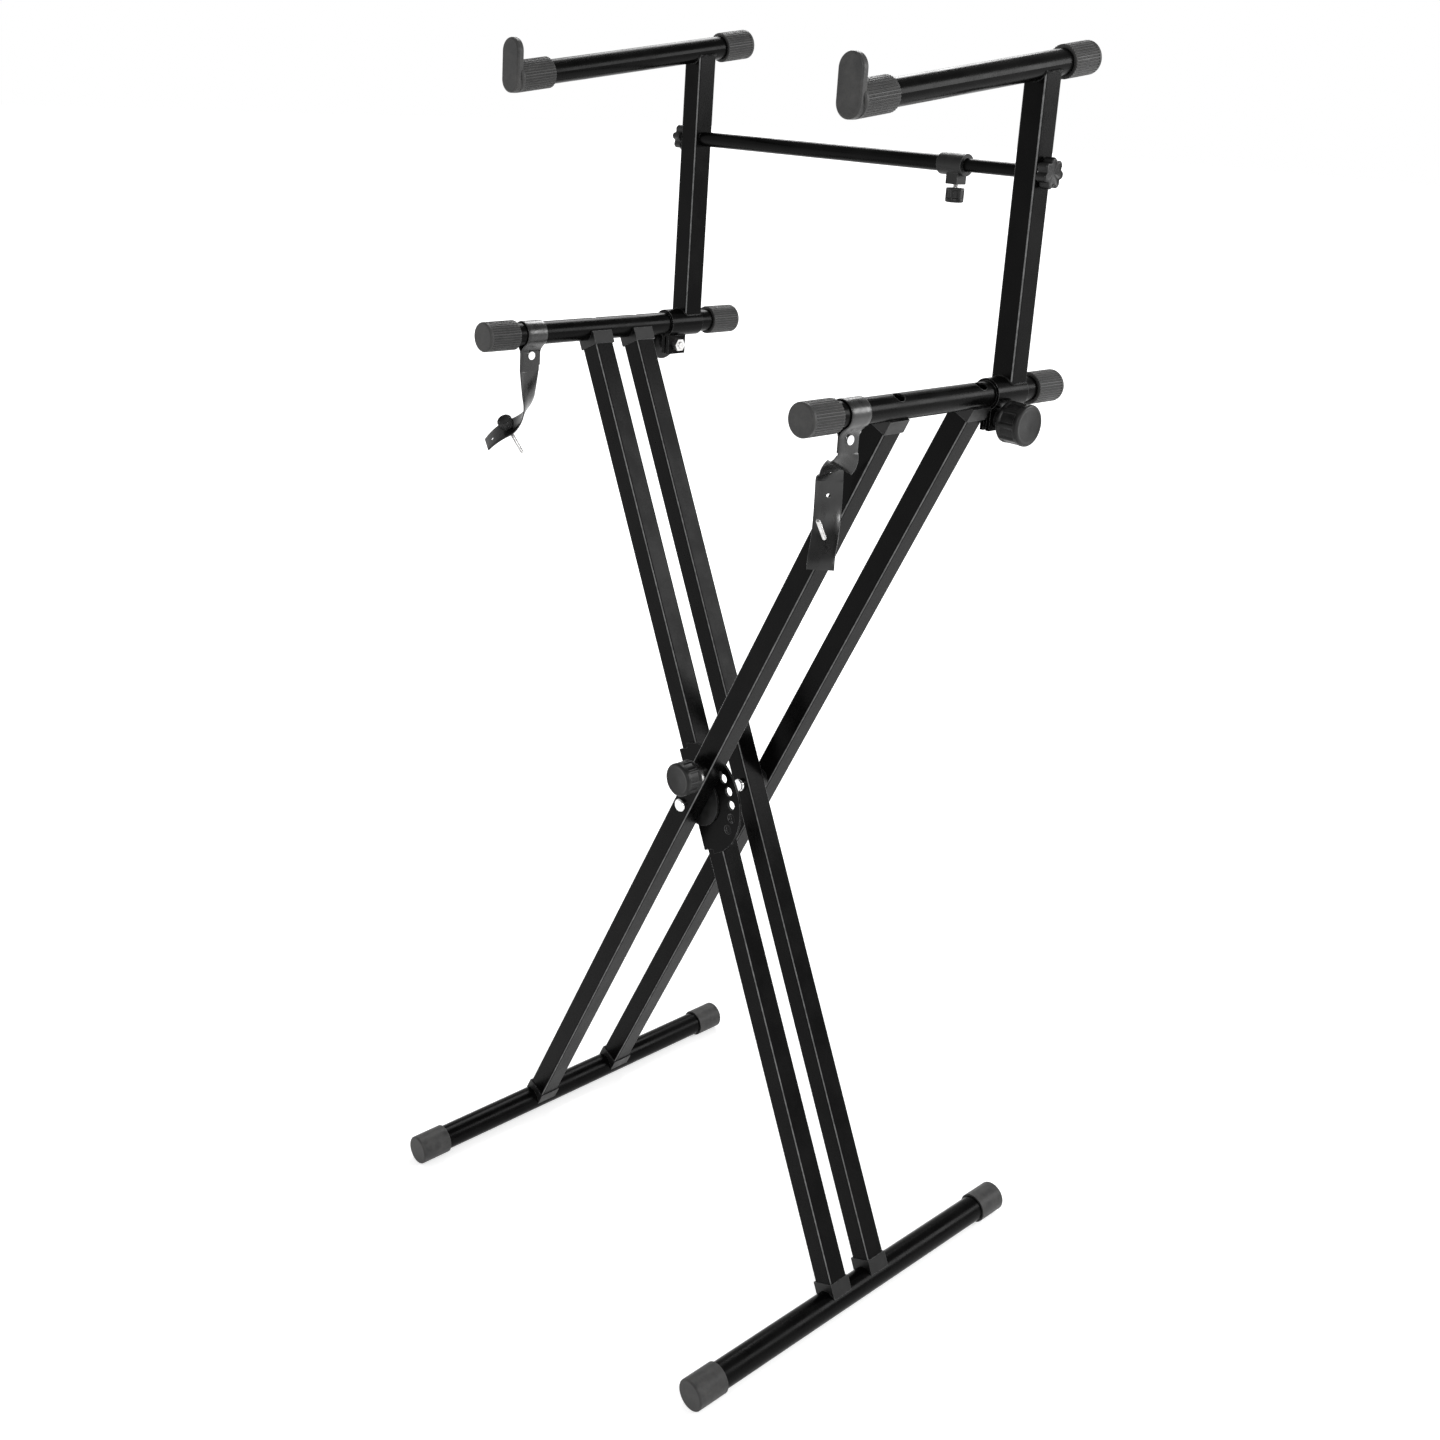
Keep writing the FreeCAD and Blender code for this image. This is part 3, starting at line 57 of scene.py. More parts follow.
YAW, PITCH, ROLL = 0.8194947, 0.2833864, 0.0571360
FOCAL_PX = 1631.4933
CENTRE_PX = Vector((678.8866, 547.1323))
IMAGE_PX = 1440
SENSOR = 36
AIM = Vector((0, 0, 659.1)) * MM
AIM_FROM_CAMERA = Vector((64.3002, -133.3200, 1776.1201)) * MM


def add_camera():
    """Camera at the photograph's view: right, up and forward axes, then its place from the aim point."""
    right = Vector((math.cos(YAW), math.sin(YAW), 0))
    level = Vector((-math.sin(YAW), math.cos(YAW), 0))
    forward = level * math.cos(PITCH) - Z * math.sin(PITCH)
    up = right.cross(forward)
    right, up = (right * math.cos(ROLL) + up * math.sin(ROLL), up * math.cos(ROLL) - right * math.sin(ROLL))
    place = AIM - right * AIM_FROM_CAMERA.x - up * AIM_FROM_CAMERA.y - forward * AIM_FROM_CAMERA.z
    data = bpy.data.cameras.new("photo_camera")
    data.sensor_width = SENSOR
    data.lens = FOCAL_PX / IMAGE_PX * SENSOR
    data.shift_x = (IMAGE_PX / 2 - CENTRE_PX.x) / IMAGE_PX
    data.shift_y = (CENTRE_PX.y - IMAGE_PX / 2) / IMAGE_PX
    data.clip_start, data.clip_end = 0.05, 50
    camera = bpy.data.objects.new("photo_camera", data)
    bpy.context.scene.collection.objects.link(camera)
    axes = Matrix((right, up, -forward)).transposed().to_4x4()
    camera.matrix_world = Matrix.Translation(place) @ axes
    bpy.context.scene.camera = camera


# ---------------------------------------------------------------- material kit

class Finish:
    """A material whose colour, roughness and bump come from node textures in the part's own coordinates."""

    def __init__(self, name):
        self.material = bpy.data.materials.new(name)
        self.material.use_nodes = True
        self.tree = self.material.node_tree
        self.shader = self.tree.nodes["Principled BSDF"]
        self.place = self.add("ShaderNodeTexCoord").outputs["Object"]
        self.bump_height = None

    def add(self, kind, **sockets):
        node = self.tree.nodes.new(kind)
        for socket, value in sockets.items():
            self.feed(node.inputs[socket.replace("_", " ")], value)
        return node

    def feed(self, socket, value):
        if isinstance(value, bpy.types.NodeSocket):
            self.tree.links.new(value, socket)
        else:
            socket.default_value = value

    def stretched(self, scale):
        mapping = self.add("ShaderNodeMapping", Vector=self.place, Scale=scale)
        return mapping.outputs["Vector"]

    def noise(self, per_metre, detail=3, roughness=0.5, place=None):
        node = self.add("ShaderNodeTexNoise", Vector=place or self.place, Scale=per_metre,
                        Detail=detail, Roughness=roughness)
        return node.outputs["Fac"]

    def cells(self, per_metre):
        node = self.add("ShaderNodeTexVoronoi", Vector=self.place, Scale=per_metre)
        return node.outputs["Distance"]

    def spread(self, value, low, high, start=0.35, end=0.65):
        node = self.add("ShaderNodeMapRange", Value=value)
        for socket, number in (("From Min", start), ("From Max", end), ("To Min", low), ("To Max", high)):
            node.inputs[socket].default_value = number
        return node.outputs["Result"]

    def maths(self, operation, first, second):
        node = self.add("ShaderNodeMath")
        node.operation = operation
        self.feed(node.inputs[0], first)
        self.feed(node.inputs[1], second)
        return node.outputs["Value"]

    def mixed(self, factor, first, second):
        node = self.tree.nodes.new("ShaderNodeMix")
        node.data_type = "RGBA"
        self.feed(node.inputs["Factor"], factor)
        for socket, colour in ((node.inputs[6], first), (node.inputs[7], second)):
            self.feed(socket, colour if isinstance(colour, bpy.types.NodeSocket) else (*colour, 1))
        return node.outputs[2]

    def dot(self, first, second):
        node = self.add("ShaderNodeVectorMath")
        node.operation = "DOT_PRODUCT"
        self.feed(node.inputs[0], first)
        self.feed(node.inputs[1], second)
        return node.outputs["Value"]

    def edges(self, radius):
        """0 on flat faces, up to 1 where the surface turns within this radius."""
        rounded = self.add("ShaderNodeBevel", Radius=radius)
        rounded.samples = 4
        plain = self.add("ShaderNodeNewGeometry").outputs["Normal"]
        return self.spread(self.dot(rounded.outputs["Normal"], plain), 1, 0, 0.75, 0.98)

    def corners(self, first_face, second_face):
        """1 along the middle of a square tube's rounded corners, 0 on its flat faces: the mask of a painted glint.
        """
        normal = self.add("ShaderNodeTexCoord").outputs["Normal"]
        parts = [self.maths("ABSOLUTE", self.dot(normal, face), 0.0) for face in (first_face, second_face)]
        return self.spread(self.maths("MULTIPLY", *parts), 0, 1, 0.36, 0.49)

    def hollows(self, distance):
        """1 in the open, towards 0 in grooves narrower than this distance: the mask of painted shade."""
        shade = self.add("ShaderNodeAmbientOcclusion", Distance=distance)
        shade.samples = 4
        return shade.outputs["AO"]

    def bump(self, height, strength, depth):
        node = self.add("ShaderNodeBump", Height=height, Strength=strength, Distance=depth)
        if self.bump_height is not None:
            self.tree.links.new(self.bump_height, node.inputs["Normal"])
        self.bump_height = node.outputs["Normal"]
        self.tree.links.new(self.bump_height, self.shader.inputs["Normal"])

    def shade(self, **sockets):
        for socket, value in sockets.items():
            self.feed(self.shader.inputs[socket.replace("_", " ")], value)
        return self.material


def grey(level, warmth=0.0):
    return (level * (1 + warmth), level, level * (1 - warmth))


def powder_coat(name="satin_black_powder_coat", tube_lean=None):
    """Satin black powder coat: orange peel, faint handling marks, thin pale wear along the sharp edges, and on
    square tubes a painted glint along the rounded corners.

    tube_lean is a square tube's lean from upright in degrees, for the painted glint along its rounded corners."""
    finish = Finish(name)
    marks = finish.noise(22, detail=6, roughness=0.62)
    grain = finish.noise(1400, detail=2)
    breaks = finish.noise(160, detail=5)
    worn = finish.maths("MULTIPLY", finish.edges(0.9 * MM), finish.spread(breaks, 0.15, 1))
    if tube_lean is not None:
        lean = math.radians(tube_lean)
        # Painted glint: a pale stripe in the colour along the middle of each rounded corner, standing for a
        # highlight; it is merged into the edge wear.
        corners = finish.corners((math.cos(lean), 0, -math.sin(lean)), (0, 1, 0))
        painted_glints = finish.maths("MULTIPLY", corners, finish.spread(breaks, 0.6, 1))
        worn = finish.maths("MAXIMUM", worn, painted_glints)
    body = finish.mixed(finish.spread(marks, 0, 1, 0.4, 0.7), grey(0.0012), grey(0.0032, 0.02))
    flecked = finish.mixed(finish.spread(grain, 0, 0.5, 0.62, 0.8), body, grey(0.010))
    # Pale grey 0.26 is the colour of the real edge wear and of the painted corner glint.
    colour = finish.mixed(finish.maths("MULTIPLY", worn, 0.8), flecked, grey(0.26))
    rough = finish.maths("ADD", finish.spread(marks, 0.20, 0.32), finish.spread(grain, -0.03, 0.05))
    finish.bump(finish.noise(620, detail=2, roughness=0.4), 0.15, 0.08 * MM)
    finish.bump(grain, 0.2, 0.03 * MM)
    return finish.shade(Base_Color=colour, Roughness=rough, Specular_IOR_Level=0.05)


def rubber():
    """Matte black rubber of the caps: fine moulded grain, dusty tone on the ribs, and painted shade that darkens
    the grooves between the ribs.
    """
    finish = Finish("ribbed_black_rubber")
    dust = finish.noise(70, detail=6, roughness=0.65)
    grain = finish.noise(2300, detail=3)
    worn = finish.maths("MULTIPLY", finish.edges(0.7 * MM), finish.spread(finish.noise(240, detail=4), 0.2, 1))
    # Painted shade: ambient occlusion darkens the grooves between the ribs in the colour, down to 0.003.
    painted_groove_shade_mask = finish.spread(finish.hollows(2.5 * MM), 0, 1, 0.55, 0.95)
    ridge = finish.mixed(finish.spread(dust, 0, 1, 0.38, 0.72), grey(0.034), grey(0.062, 0.02))
    body = finish.mixed(painted_groove_shade_mask, grey(0.003), ridge)
    colour = finish.mixed(finish.maths("MULTIPLY", worn, 0.6), body, grey(0.19))
    rough = finish.maths("ADD", finish.spread(dust, 0.38, 0.55), finish.spread(grain, -0.05, 0.06))
    finish.bump(grain, 0.4, 0.05 * MM)
    finish.bump(dust, 0.15, 0.15 * MM)
    return finish.shade(Base_Color=colour, Roughness=rough, Specular_IOR_Level=0.2)


def plastic():
    """Moulded black nylon of the knobs and saddles, polished on the edges by hands."""
    finish = Finish("moulded_black_plastic")
    marks = finish.noise(90, detail=5, roughness=0.6)
    spark = finish.cells(2600)
    worn = finish.maths("MULTIPLY", finish.edges(1.1 * MM), finish.spread(finish.noise(330, detail=5), 0, 1))
    body = finish.mixed(finish.spread(marks, 0, 1, 0.4, 0.7), grey(0.0035), grey(0.010))
    colour = finish.mixed(finish.maths("MULTIPLY", worn, 0.85), body, grey(0.16))
    rough = finish.maths("ADD", finish.spread(marks, 0.34, 0.50), finish.maths("MULTIPLY", worn, -0.12))
    finish.bump(spark, 0.3, 0.05 * MM)
    finish.bump(marks, 0.12, 0.12 * MM)
    return finish.shade(Base_Color=colour, Roughness=rough, Specular_IOR_Level=0.25)


def strap_rubber():
    """Smooth, slightly shiny strap: long drawn streaks, soft waviness and scuffs by the holes."""
    finish = Finish("smooth_strap_rubber")
    streaks = finish.noise(130, detail=4, place=finish.stretched((1, 1, 0.12)))
    scuffs = finish.noise(420, detail=6, roughness=0.7)
    worn = finish.maths("MULTIPLY", finish.edges(0.6 * MM), finish.spread(scuffs, 0.1, 1))
    body = finish.mixed(finish.spread(streaks, 0, 1, 0.4, 0.66), grey(0.0050), grey(0.0095))
    colour = finish.mixed(finish.maths("MULTIPLY", worn, 0.6), body, grey(0.05))
    rough = finish.maths("ADD", finish.spread(streaks, 0.24, 0.36), finish.spread(scuffs, 0, 0.1, 0.55, 0.75))
    finish.bump(finish.noise(75, detail=2), 0.3, 0.6 * MM)
    finish.bump(finish.noise(1800, detail=2), 0.2, 0.03 * MM)
    return finish.shade(Base_Color=colour, Roughness=rough, Specular_IOR_Level=0.5)


def chrome():
    """Bright plated steel with hazy patches and fine turning marks."""
    finish = Finish("bright_chrome")
    haze = finish.noise(210, detail=5, roughness=0.65)
    colour = finish.mixed(finish.spread(haze, 0, 1, 0.4, 0.72), grey(0.86, -0.01), grey(0.66, 0.02))
    rough = finish.spread(haze, 0.09, 0.24, 0.35, 0.72)
    finish.bump(finish.noise(900, detail=3), 0.12, 0.05 * MM)
    return finish.shade(Base_Color=colour, Roughness=rough, Metallic=1.0)


def zinc():
    """Zinc-plated steel: spangled grey with a faint warm tint in random patches."""
    finish = Finish("zinc_plated_steel")
    spangle = finish.cells(520)
    tint = finish.noise(120, detail=5, roughness=0.6)
    pale = finish.mixed(finish.spread(spangle, 0, 1, 0.15, 0.7), grey(0.72), grey(0.54, 0.01))
    colour = finish.mixed(finish.spread(tint, 0, 0.55, 0.5, 0.75), pale, grey(0.42, 0.07))
    rough = finish.spread(tint, 0.22, 0.40, 0.35, 0.7)
    finish.bump(spangle, 0.12, 0.05 * MM)
    finish.bump(finish.noise(1500, detail=3), 0.15, 0.03 * MM)
    return finish.shade(Base_Color=colour, Roughness=rough, Metallic=1.0)


def spring_steel():
    """Oil-tempered wire: dark drawn streaks with brighter rubbed spots."""
    finish = Finish("oiled_spring_steel")
    streaks = finish.noise(700, detail=4, place=finish.stretched((1, 0.2, 1)))
    colour = finish.mixed(finish.spread(streaks, 0, 1, 0.35, 0.7), grey(0.24, 0.03), grey(0.50))
    rough = finish.spread(streaks, 0.25, 0.45)
    finish.bump(streaks, 0.15, 0.03 * MM)
    return finish.shade(Base_Color=colour, Roughness=rough, Metallic=1.0)


FINISHES = {"black_powder_coat": powder_coat(), "black_rubber": rubber(), "black_plastic": plastic(),
            "chrome": chrome(), "zinc_steel": zinc(), "strap_rubber": strap_rubber(),
            "spring_steel": spring_steel()}


HALF_SPREAD_DEG = 25.85
TUBE_FINISHES_WITH_PAINTED_GLINTS = {"outer_leg": powder_coat("satin_black_outer_leg_painted_glint", HALF_SPREAD_DEG),
                 "inner_leg": powder_coat("satin_black_inner_leg_painted_glint", -HALF_SPREAD_DEG),
                 "upright": powder_coat("satin_black_upright_painted_glint", 0)}
SQUARE_TUBES = {"outer_leg_front": "outer_leg", "outer_leg_back": "outer_leg",
                "inner_leg_front": "inner_leg", "inner_leg_back": "inner_leg",
                "left_upright": "upright", "right_upright": "upright"}


def dress_nodes():
    """Every CAD node that stays gets the finish of its slot; square tubes get theirs with painted corner glints.
    """
    for name, node in NODES.items():
        for slot in node.material_slots:
            packed = slot.material.name.split(".")[0]
            slot.material = TUBE_FINISHES_WITH_PAINTED_GLINTS[SQUARE_TUBES[name]] if name in SQUARE_TUBES else FINISHES[packed]


# ---------------------------------------------------------------- piece kit

def add_piece(name, mesh, slot, stands_for, body=None, crease_deg=32):
    """Finish a mesh as a named piece on a body, smooth but for its real creases."""
    piece = bpy.data.objects.new(name, mesh)
    bpy.context.scene.collection.objects.link(piece)
    shape = bmesh.new()
    shape.from_mesh(mesh)
    bmesh.ops.recalc_face_normals(shape, faces=shape.faces)
    for face in shape.faces:
        face.smooth = True
    for edge in shape.edges:
        if len(edge.link_faces) == 2:
            edge.smooth = edge.calc_face_angle(0) < math.radians(crease_deg)
    shape.to_mesh(mesh)
    shape.free()
    mesh.materials.append(FINISHES[slot])
    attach(piece, body or BODY_OF_NODE[stands_for])
    if stands_for and body is None:
        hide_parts(stands_for)
    return piece


def grid_mesh(name, rows, close_ends=True):
    """Mesh through rings of points; every ring runs the same way round."""
    shape = bmesh.new()
    rings = [[shape.verts.new(point) for point in ring] for ring in rows]
    count = len(rings[0])
    for low, high in zip(rings, rings[1:]):
        for i in range(count):
            j = (i + 1) % count
            shape.faces.new((low[i], low[j], high[j], high[i]))
    if close_ends:
        shape.faces.new(rings[0][::-1])
        shape.faces.new(rings[-1])
    mesh = bpy.data.meshes.new(name)
    shape.to_mesh(mesh)
    shape.free()
    return mesh


class Axis:
    """A line with a direction out of the stand, and the way round it."""

    def __init__(self, origin, out):
        self.origin = Vector(origin)
        self.out = Vector(out).normalized()
        self.side = self.out.orthogonal().normalized()
        self.up = self.out.cross(self.side)

    def point(self, height, radius, angle):
        return (self.origin + self.out * height
                + (self.side * math.cos(angle) + self.up * math.sin(angle)) * radius)

    def spans(self, node):
        """(height along the axis, distance from it) of each of a node's corners."""
        found = []
        for vertex in NODES[node].data.vertices:
            offset = vertex.co - self.origin
            height = offset.dot(self.out)
            found.append((height, (offset - self.out * height).length))
        return found


def turned(name, axis, profile, segments, shaped=None):
    """Body of revolution from (height, radius) pairs; shaped(angle, height, radius) may alter a radius."""
    rows = []
    for height, radius in profile:
        ring = []
        for i in range(segments):
            angle = 2 * math.pi * i / segments
            ring.append(axis.point(height, shaped(angle, height, radius) if shaped else radius, angle))
        rows.append(ring)
    return grid_mesh(name, rows)


def threaded_rod(name, axis, low, high, radius, pitch, segments=20, rows_per_turn=6):
    """Screw thread with chamfered ends."""
    depth = pitch * 0.55
    count = max(4, int((high - low) / pitch * rows_per_turn))
    profile = [(low, radius - depth)] + [(low + (high - low) * i / count, radius) for i in range(1, count)]
    profile.append((high, radius - depth))

    def shaped(angle, height, full):
        if full < radius:
            return full
        phase = height / pitch - angle / (2 * math.pi)
        lead = min(1, (height - low) / pitch, (high - height) / pitch)
        ridge = 0.5 + 0.5 * math.cos(2 * math.pi * phase)
        return radius - depth * (1 - ridge * lead)
    return turned(name, axis, profile, segments, shaped)


def smooth_step(value):
    value = min(1, max(0, value))
    return value * value * (3 - 2 * value)


def rounded(low, high, radius, round_low, round_high, steps=4):
    """Profile of a disc's side and rims from low to high, with quarter-round rims."""
    points = [(low + round_low * (1 - math.cos(math.pi / 2 * i / steps)),
               radius - round_low * (1 - math.sin(math.pi / 2 * i / steps))) for i in range(steps + 1)]
    points += [(high - round_high * (1 - math.sin(math.pi / 2 * i / steps)),
                radius - round_high * (1 - math.cos(math.pi / 2 * i / steps))) for i in range(steps + 1)]
    return points


# ---------------------------------------------------------------- knobs and screws

PANEL_DEPTH = 1.3 * MM


def panelled(count, low, high):
    """Radius rule for a grip with sunk panels round its side, between two plain rims."""
    def shaped(angle, height, radius):
        turn = angle / (2 * math.pi) * count % 1
        round_way = smooth_step((0.5 - abs(turn - 0.5)) / 0.09 - 1)
        up_way = smooth_step((height - low) / (1.2 * MM)) * smooth_step((high - height) / (1.2 * MM))
        return radius - PANEL_DEPTH * round_way * up_way
    return shaped


def lobed(count, depth, full_radius):
    """Radius rule for a star of rounded lobes."""
    def shaped(angle, height, radius):
        valley = 0.5 - 0.5 * math.cos(count * angle)
        return radius - depth * valley ** 1.6 * radius / full_radius
    return shaped


def knurled(count, depth, full_radius):
    """Radius rule for fine round ribs that fade out towards the centre."""
    def shaped(angle, height, radius):
        fade = smooth_step((radius / full_radius - 0.8) * 6)
        return radius - depth * (0.5 + 0.5 * math.cos(count * angle)) * fade
    return shaped


def on_rim(shaped, least_radius):
    """The radius rule where a turned body reaches this far out, and its plain radius elsewhere."""
    return lambda angle, height, radius: shaped(angle, height, radius) if radius > least_radius else radius


def divided(profile, longest):
    """Profile with its long runs split, so that panels have rows to bend at."""
    points = [profile[0]]
    for (low, first), (high, second) in zip(profile, profile[1:]):
        count = max(1, math.ceil(abs(high - low) / longest))
        points += [(low + (high - low) * i / count, first + (second - first) * i / count)
                   for i in range(1, count + 1)]
    return points


def dished(high, radius, sink):
    """Profile of a shallow dish in a disc's face, from its rim to near its centre."""
    return [(high, radius * 0.96), (high - sink * 0.5, radius * 0.9), (high - sink, radius * 0.8),
            (high - sink, radius * 0.3), (high - sink * 1.4, radius * 0.22),
            (high - sink * 1.4, radius * 0.05)]


def knob_axis(joint):
    return Axis(JOINTS[joint]["pos_m"], JOINTS[joint]["axis"])


def outward_axis(node, joint, head_radius):
    """Axis of a knob, pointing from its stud to its head, with both ends of each along it."""
    axis = knob_axis(joint)
    spans = axis.spans(node)
    head = [height for height, radius in spans if radius > head_radius]
    every = [height for height, radius in spans]
    if sum(head) / len(head) < (min(every) + max(every)) / 2:
        axis = Axis(axis.origin, -axis.out)
        head = [-height for height in head]
        every = [-height for height in every]
    return axis, min(head), max(head), min(every)


def clamp_knob(side):
    node = side + "_clamp_knob"
    axis, low, high, tip = outward_axis(node, side + "_clamp_turn", 10 * MM)
    hub = [(low - 12 * MM, 7.6 * MM), (low - 11.4 * MM, 8.8 * MM), (low - 2 * MM, 8.8 * MM), (low, 12 * MM)]
    radius = 20.5 * MM
    side_profile = divided(rounded(low, high, radius, 1.2 * MM, 2.4 * MM), 1.0 * MM)
    profile = hub + side_profile + dished(high, radius - 2.4 * MM, 0.7 * MM)
    panels = on_rim(panelled(8, low + 2.6 * MM, high - 5.0 * MM), radius * 0.93)
    add_piece(node + "_grip", turned(node + "_grip", axis, profile, 128, panels), "black_plastic", node)
    rod = threaded_rod(node + "_stud", axis, tip, low - 8 * MM, 4 * MM, 1.25 * MM)
    add_piece(node + "_stud", rod, "zinc_steel", node)


def star_knob(side):
    node = side + "_star_knob"
    axis, low, high, tip = outward_axis(node, side + "_star_turn", 6 * MM)
    radius = 15 * MM
    profile = divided(rounded(low, high, radius, 1.2 * MM, 2.0 * MM), 1.5 * MM)
    profile += dished(high, radius - 2.0 * MM, 0.8 * MM)
    profile = [(low, 5 * MM), (low, radius * 0.7)] + profile
    mesh = turned(node + "_grip", axis, profile, 126, lobed(7, 3.3 * MM, radius))
    add_piece(node + "_grip", mesh, "black_plastic", node)
    rod = threaded_rod(node + "_stud", axis, tip, low + 3 * MM, 4 * MM, 1.25 * MM)
    add_piece(node + "_stud", rod, "zinc_steel", node)


def thumb_screw(side):
    node = side + "_thumb_screw"
    axis, low, high, tip = outward_axis(node, side + "_thumb_turn", 4.5 * MM)
    radius = 8.5 * MM
    neck = [(low - 3 * MM, 3.0 * MM), (low - 2.8 * MM, 3.5 * MM), (low - 0.6 * MM, 3.5 * MM), (low, 4.4 * MM)]
    profile = neck + divided(rounded(low, high, radius, 1.0 * MM, 2.2 * MM), 1.2 * MM)
    profile += dished(high, radius - 2.2 * MM, 0.5 * MM)
    mesh = turned(node + "_grip", axis, profile, 144, knurled(24, 0.7 * MM, radius))
    add_piece(node + "_grip", mesh, "black_plastic", node)
    rod = threaded_rod(node + "_shank", axis, tip, low - 2 * MM, 2 * MM, 0.7 * MM, segments=16)
    add_piece(node + "_shank", rod, "zinc_steel", node)


def collar_knob():
    node = "collar_knob"
    axis, low, high, tip = outward_axis(node, "collar_knob_turn", 6 * MM)
    radius = 9 * MM
    profile = [(low, 3 * MM)] + divided(rounded(low, high, radius, 1.0 * MM, 1.6 * MM), 1.0 * MM)
    profile += dished(high, radius - 1.6 * MM, 0.4 * MM)
    panels = on_rim(panelled(6, low + 1.4 * MM, high - 3.2 * MM), radius * 0.9)
    add_piece(node + "_grip", turned(node + "_grip", axis, profile, 96, panels), "black_plastic", node)
    rod = threaded_rod(node + "_screw", axis, tip, low + 3 * MM, 2.5 * MM, 0.8 * MM, segments=16)
    add_piece(node + "_screw", rod, "zinc_steel", node)


def lock_pull():
    """Pull knob of the lock: panelled grip, hollow underneath for the housing's flange."""
    node = "lock_knob"
    low_corner, high_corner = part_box(node)
    centre = (low_corner + high_corner) / 2
    axis = Axis((centre.x, high_corner.y, centre.z), -Y)
    high = high_corner.y - low_corner.y
    radius = (high_corner.x - low_corner.x) / 2
    recess_radius, recess, stem = 12.5 * MM, 9 * MM, 3.6 * MM
    inside = [(recess, stem), (recess, recess_radius - 0.6 * MM), (recess - 0.6 * MM, recess_radius),
              (0.6 * MM, recess_radius), (0, recess_radius + 0.6 * MM)]
    outside = divided(rounded(0, high, radius, 1.0 * MM, 2.2 * MM), 1.0 * MM)
    panels = on_rim(panelled(8, 2.4 * MM, high - 5.0 * MM), radius * 0.93)
    profile = inside + outside + dished(high, radius - 2.2 * MM, 0.6 * MM)
    add_piece("lock_pull_grip", turned("lock_pull_grip", axis, profile, 128, panels), "black_plastic", node)


# ---------------------------------------------------------------- straps

STRAP_WIDTH, STRAP_THICK, STRAP_Y = 26 * MM, 1.5 * MM, -118 * MM
STRAP_DROP, STRAP_LAP = 12.8 * MM, 22 * MM
STRAP_STRETCHES = {
    "left": [(26, 0, 0), (32, -24, 0), (43, -56, 64), (31, 13, -26)],
    "right": [(22, 0, 0), (24, 53, 78), (27, -50, -10), (17, 29, -56), (68, 16, -60), (18, -3, 42)],
}
STEP_COUNT = 10
SPARE_HOLES = {"left": (10,), "right": (71, 98)}
SMOOTHING = 4
SCREW_HOLE_RADIUS, SPARE_HOLE_RADIUS = 2.15 * MM, 2.0 * MM


def bar_middle(side, y):
    """Point on a support bar's centre line."""
    low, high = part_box(side + "_support_bar")
    return Vector(((low.x + high.x) / 2, y, (low.z + high.z) / 2))


def turned_vector(vector, axis, degrees):
    return Matrix.Rotation(math.radians(degrees), 3, axis) @ vector


def ribbon_stations(side, top):
    """(middle, along, across, travelled) down a strap, step by step as its stretches twist and bend."""
    middle, along, across, travelled = top, -Z, Y, 0.0
    stations = [(middle, along, across, travelled)]
    for length, twist, bend in STRAP_STRETCHES[side]:
        steps = STEP_COUNT if twist or bend else 1
        stride = length * MM / steps / 2
        for _ in range(steps):
            middle = middle + along * stride
            across = turned_vector(across, along, twist / steps)
            along = turned_vector(along, across, bend / steps)
            middle = middle + along * stride
            travelled += stride * 2
            stations.append((middle, along, across, travelled))
    return stations


def curve_between(points, i, t):
    """Catmull-Rom point between points[i] and points[i + 1]."""
    before = points[max(i - 1, 0)]
    first, second = points[i], points[i + 1]
    after = points[min(i + 2, len(points) - 1)]
    return 0.5 * (2 * first + (second - before) * t + (2 * before - 5 * first + 4 * second - after) * t * t
                  + (3 * first - before - 3 * second + after) * t ** 3)


def loop_stations(side, centre):
    """The strap's inner end, up and over its bar and down again to the lap's foot."""
    out = SIDES[side]
    radius = STRAP_DROP + STRAP_THICK / 2
    leave = math.radians(40)
    foot = -(STRAP_DROP + STRAP_LAP)
    join = -(STRAP_DROP + 9 * MM)
    bar_side = Vector((math.sin(leave), -math.cos(leave))) * radius
    pull = Vector((math.cos(leave), math.sin(leave))) * 5 * MM
    lap = Vector((STRAP_THICK / 2 + 0.05 * MM, join))
    fall = Vector((0, 5 * MM))

    def flank(steps=8):
        points = []
        for i in range(steps + 1):
            t = i / steps
            points.append((1 - t) ** 3 * lap + 3 * (1 - t) ** 2 * t * (lap + fall)
                          + 3 * (1 - t) * t * t * (bar_side - pull) + t ** 3 * bar_side)
        return points
    over = [Vector((math.sin(angle), -math.cos(angle))) * radius
            for angle in (leave + (2 * math.pi - 2 * leave) * i / 48 for i in range(1, 48))]
    inner = [Vector((lap.x, foot + (join - foot) * i / 4)) for i in range(4)] + flank() + over
    outer = [Vector((-point.x, point.y)) for point in flank()][::-1]
    outer += [Vector((-lap.x, join + (foot - join) * i / 4)) for i in range(1, 4)]
    flat = [Vector((-out * point.x, point.y)) for point in inner + outer]
    middles = [centre + X * point.x + Z * point.y for point in flat]
    stations = []
    for i, middle in enumerate(middles):
        along = (middles[min(i + 1, len(middles) - 1)] - middles[max(i - 1, 0)]).normalized()
        stations.append((middle, along, Y))
    return stations


